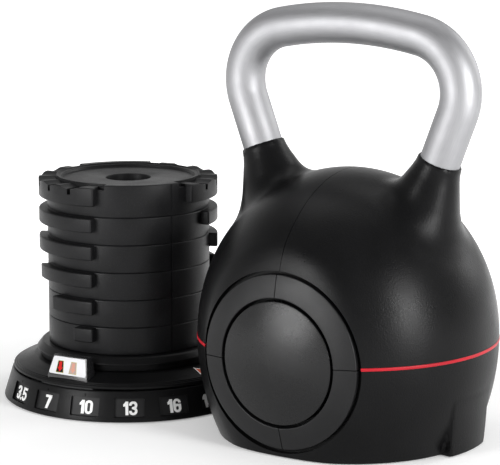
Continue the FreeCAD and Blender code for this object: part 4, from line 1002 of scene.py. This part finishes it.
def build_floor():
    """Pale ground, white to the camera and in reflections, and less so beside the object for its shadow."""
    floor = bpy.data.meshes.new("floor")
    grid = bmesh.new()
    bmesh.ops.create_grid(grid, x_segments=24, y_segments=24, size=6.0)
    grid.to_mesh(floor)
    grid.free()
    ground = bpy.data.objects.new("floor", floor)
    SCENE.collection.objects.link(ground)
    ground.location.z = -0.0002
    material, nodes, links, shader = principled("floor")
    shader.inputs["Base Color"].default_value = (0.82, 0.82, 0.82, 1)
    shader.inputs["Roughness"].default_value = 0.75
    shader.inputs["Specular IOR Level"].default_value = 0.1
    path = node(nodes, "ShaderNodeLightPath").outputs
    seen = either(nodes, links, path["Is Camera Ray"], path["Is Glossy Ray"])
    seen = either(nodes, links, seen, path["Is Transmission Ray"])
    place = node(nodes, "ShaderNodeVectorMath", operation="LENGTH")
    links.new(node(nodes, "ShaderNodeTexCoord").outputs["Object"], place.inputs[0])
    glow = node(nodes, "ShaderNodeMath", operation="MULTIPLY")
    links.new(seen, glow.inputs[0])
    nearby = ranged(nodes, links, place.outputs["Value"], GLOW_NEAR, GLOW_FAR, FLOOR_GLOW, 1.0)
    links.new(nearby, glow.inputs[1])
    links.new(glow.outputs[0], shader.inputs["Emission Strength"])
    shader.inputs["Emission Color"].default_value = (1, 1, 1, 1)
    floor.materials.append(material)


def build_world():
    """White to the camera, a plain level of light on the object, and a studio with a dim ceiling in shine."""
    world = bpy.data.worlds.new("studio")
    SCENE.world = world
    world.use_nodes = True
    nodes, links = world.node_tree.nodes, world.node_tree.links
    background = nodes["Background"]
    path = node(nodes, "ShaderNodeLightPath").outputs
    upward = node(nodes, "ShaderNodeSeparateXYZ")
    links.new(node(nodes, "ShaderNodeTexCoord").outputs["Generated"], upward.inputs[0])
    studio = ranged(nodes, links, upward.outputs["Z"], 0.1, 0.65, 1.0, CEILING)
    mirrored = node(nodes, "ShaderNodeMix", data_type="FLOAT")
    links.new(either(nodes, links, path["Is Glossy Ray"], path["Is Transmission Ray"]), mirrored.inputs[0])
    mirrored.inputs[2].default_value = WORLD_LIGHT
    links.new(studio, mirrored.inputs[3])
    level = node(nodes, "ShaderNodeMix", data_type="FLOAT")
    links.new(path["Is Camera Ray"], level.inputs[0])
    links.new(mirrored.outputs[0], level.inputs[2])
    level.inputs[3].default_value = 1.0
    links.new(level.outputs[0], background.inputs["Strength"])
    background.inputs["Color"].default_value = (1, 1, 1, 1)


def build_lamps():
    for name, place, size, power in LAMPS:
        lamp = bpy.data.lights.new(name, "AREA")
        lamp.shape = "RECTANGLE"
        lamp.size, lamp.size_y = size
        lamp.energy = power
        aimed(bpy.data.objects.new(name, lamp), bell_point(*place), bell_point(*LAMP_TARGET))


colour_cad()
build_shells()
build_bands()
build_discs()
build_handle()
build_plates()
build_skirt()
build_seat()
build_turntable()
eased_copy("lock_button", "button", "button_black", 0.9)
build_label()
build_camera()
build_floor()
build_world()
build_lamps()
SCENE.view_settings.view_transform = "Standard"
